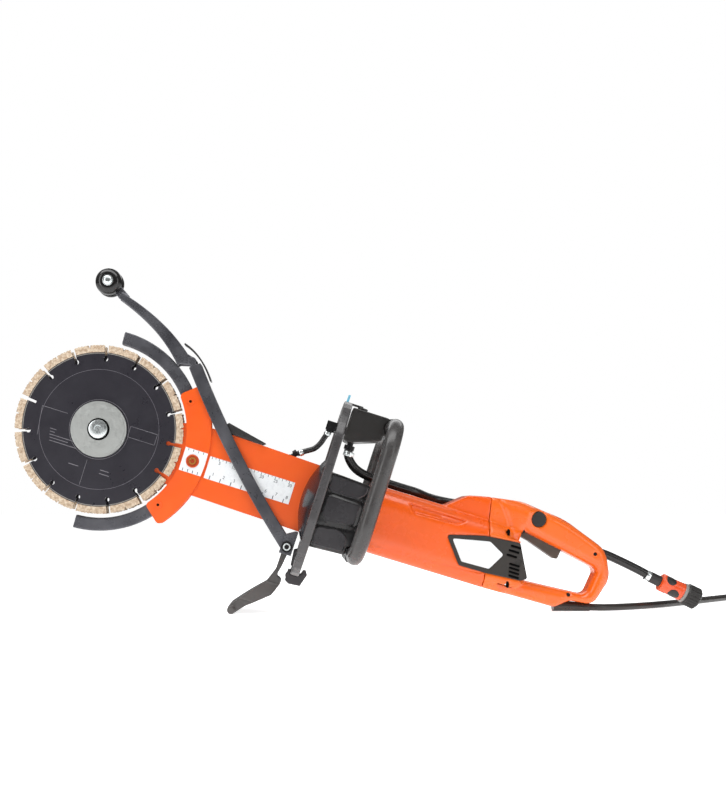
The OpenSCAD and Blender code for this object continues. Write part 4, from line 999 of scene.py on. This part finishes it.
def numbers(name, marks, face, side=-1, size=6.2):
    """Plain numbers, each (text, u, b), standing on the near or the far side of the arm."""
    places, faces, count = [], [], 0
    for text, u0, b0 in marks:
        letters = bpy.data.curves.new("number", "FONT")
        letters.body, letters.size, letters.extrude = text, size, 0.06
        letters.align_x = "CENTER"
        maker = bpy.data.objects.new("number", letters)
        flat = bpy.data.meshes.new_from_object(maker)
        x, up, out = vertex_places(flat).T
        places.append(machine(u0 - side * x, side * (face + 0.06 + out), b0 + up))
        faces += [[v + count for v in polygon.vertices] for polygon in flat.polygons]
        count += len(flat.vertices)
        bpy.data.objects.remove(maker)
        bpy.data.meshes.remove(flat)
        bpy.data.curves.remove(letters)
    piece = mesh_piece(name, np.vstack(places), faces, smooth=False)
    return settle(tidy_shell(piece), label_ink, "frame")


lower_marks = [(str(n + 1), -174 + 15 * n, -13.6) for n in range(8)]
upper_marks = [(str(5 * (n + 1)), -170 + 20 * n, 3.2) for n in range(6)]
numbers("scale_numbers_near", lower_marks + upper_marks, PLATE_FACE)
numbers("scale_numbers_far", lower_marks + upper_marks, PLATE_FACE, side=1)

# %% Arm screws and adjuster
settle(flat_piece("scale_spot", [arc_spot(-130, -1.3, 8)], PLATE_FACE - 0.1, PLATE_FACE + 0.35, 0.1, sides=(-1,)),
       arm_coat, "frame")
adjuster_at = machine(-206.0, 0.0, -2.8) - 9.4 * MM * ACROSS
disc = turned("adjuster_disc", adjuster_at, -ACROSS, [(0, 0), (0, 8.3), (1.6, 8.3), (2.2, 7.6), (2.2, 0)])
settle(disc, adjuster_brass, "frame")
rim = turned("adjuster_rim", adjuster_at, -ACROSS, [(2.0, 3.0), (2.6, 3.2), (2.6, 4.6), (2.0, 4.8)], ring=True)
settle(rim, pressed_brass, "frame")
FORK_SCREW_R = 130
FORK_SCREW_AT = np.radians([-34.5, 34.5])
dark_spots = [(FORK_SCREW_R * math.cos(a) - ARM_LENGTH, FORK_SCREW_R * math.sin(a)) for a in FORK_SCREW_AT]
settle(flat_piece("fork_screw_heads", [arc_spot(u, b, 1.9) for u, b in dark_spots], 10.6, 11.0, 0.1), painted_shade_black,
       "frame")

# %% Lever tab
tab = np.array([[47.3, 0, 285.6], [50.9, 0, 286.0], [54.0, 0, 294.7], [51.0, 0, 295.7]]) * MM
tab_u, _, tab_b = own_frame(tab)
settle(flat_piece("lever_tab", [np.c_[tab_u, tab_b]], -3.9, 3.9, 0.3, sides=(1,)), lever_blue,
       body_of_node["valve_lever"])

# %% Feed nipple
nipple = turned("feed_nipple", machine(-82.0, 0.0, 40.5), 0.62 * ALONG + 0.78 * UP,
                [(0, 0), (0, 4.6), (3.5, 4.6), (4.2, 3.4), (10.5, 3.4), (11, 3.9), (13.5, 3.2), (13.5, 0)])
settle(nipple, black_oxide, "frame")

# %% Washers at the pivot bolt
pivot_at = machine(-48.8, 0.0, -75.3)
for side in (-1, 1):
    where = "far" if side > 0 else "near"
    flat_ring = turned(f"pivot_washer_{where}", pivot_at, side * ACROSS,
                    [(20.4, 3.2), (20.9, 3.2), (20.9, 5.0), (20.4, 5.2)], ring=True)
    settle(flat_ring, zinc_plate, "frame")

# %% [markdown]
# ## Floor and light
# A white sweep of floor under even daylight, with a broad soft light overhead and a weaker one in front:
# long highlights run along the tops of the housings and the floor shadow stays faint.

# %% Floor, lights and surroundings
floor_data = bpy.data.meshes.new("floor")
floor_data.from_pydata([(-30, -30, 0), (30, -30, 0), (30, 30, 0), (-30, 30, 0)], [], [(0, 1, 2, 3)])
floor = bpy.data.objects.new("floor", floor_data)
bpy.context.scene.collection.objects.link(floor)
floor_paint, floor_tree, floor_shader, floor_place = start("white_studio_floor", "F6F7F8", 0.6)
floor_shader.inputs["Emission Color"].default_value = (1, 1, 1, 1)
floor_shader.inputs["Emission Strength"].default_value = 0.78
drift_gloss(floor_tree, floor_shader, floor_place, 0.5, 0.7, 300)
floor_data.materials.append(floor_paint)


def soft_light(name, at, towards, size, power):
    """A rectangular light at a place, turned to face another."""
    data = bpy.data.lights.new(name, "AREA")
    data.shape = "RECTANGLE"
    data.size, data.size_y = size
    data.energy = power
    lamp = bpy.data.objects.new(name, data)
    lamp.location = at
    direction = np.asarray(towards, float) - np.asarray(at, float)
    lamp.rotation_euler = Vector(direction).to_track_quat("-Z", "Y").to_euler()
    bpy.context.scene.collection.objects.link(lamp)
    return lamp


soft_light("overhead", (-0.2, -0.5, 1.7), (0.0, 0.0, 0.2), (2.6, 0.9), 27)
soft_light("front_left", (-1.7, -1.5, 0.9), (0.0, 0.0, 0.2), (0.8, 1.6), 12)
soft_light("front_right", (1.8, -1.6, 0.8), (0.1, 0.0, 0.2), (0.7, 1.4), 7)
soft_light("behind", (0.3, 1.6, 1.5), (0.1, 0.0, 0.2), (2.4, 0.8), 12)

# %% White surroundings
# The far wall reads as white, but lights the saw less than half as much, so black stays black.
world = bpy.data.worlds.new("studio")
world.use_nodes = True
sky = world.node_tree
seen = add(sky, "LightPath").outputs["Is Camera Ray"]
height = add(sky, "SeparateXYZ", {0: add(sky, "TexCoord").outputs["Generated"]}).outputs["Z"]
glow = add(sky, "MapRange", {"Value": height, "From Min": -0.1, "From Max": 1.0, "To Min": 0.12, "To Max": 0.36})
level = add(sky, "Mix", {"Factor": seen, 2: glow.outputs["Result"], 3: 1.0}, data_type="FLOAT")
sky.links.new(level.outputs[0], sky.nodes["Background"].inputs["Strength"])
sky.nodes["Background"].inputs["Color"].default_value = (1, 1, 1, 1)
bpy.context.scene.world = world
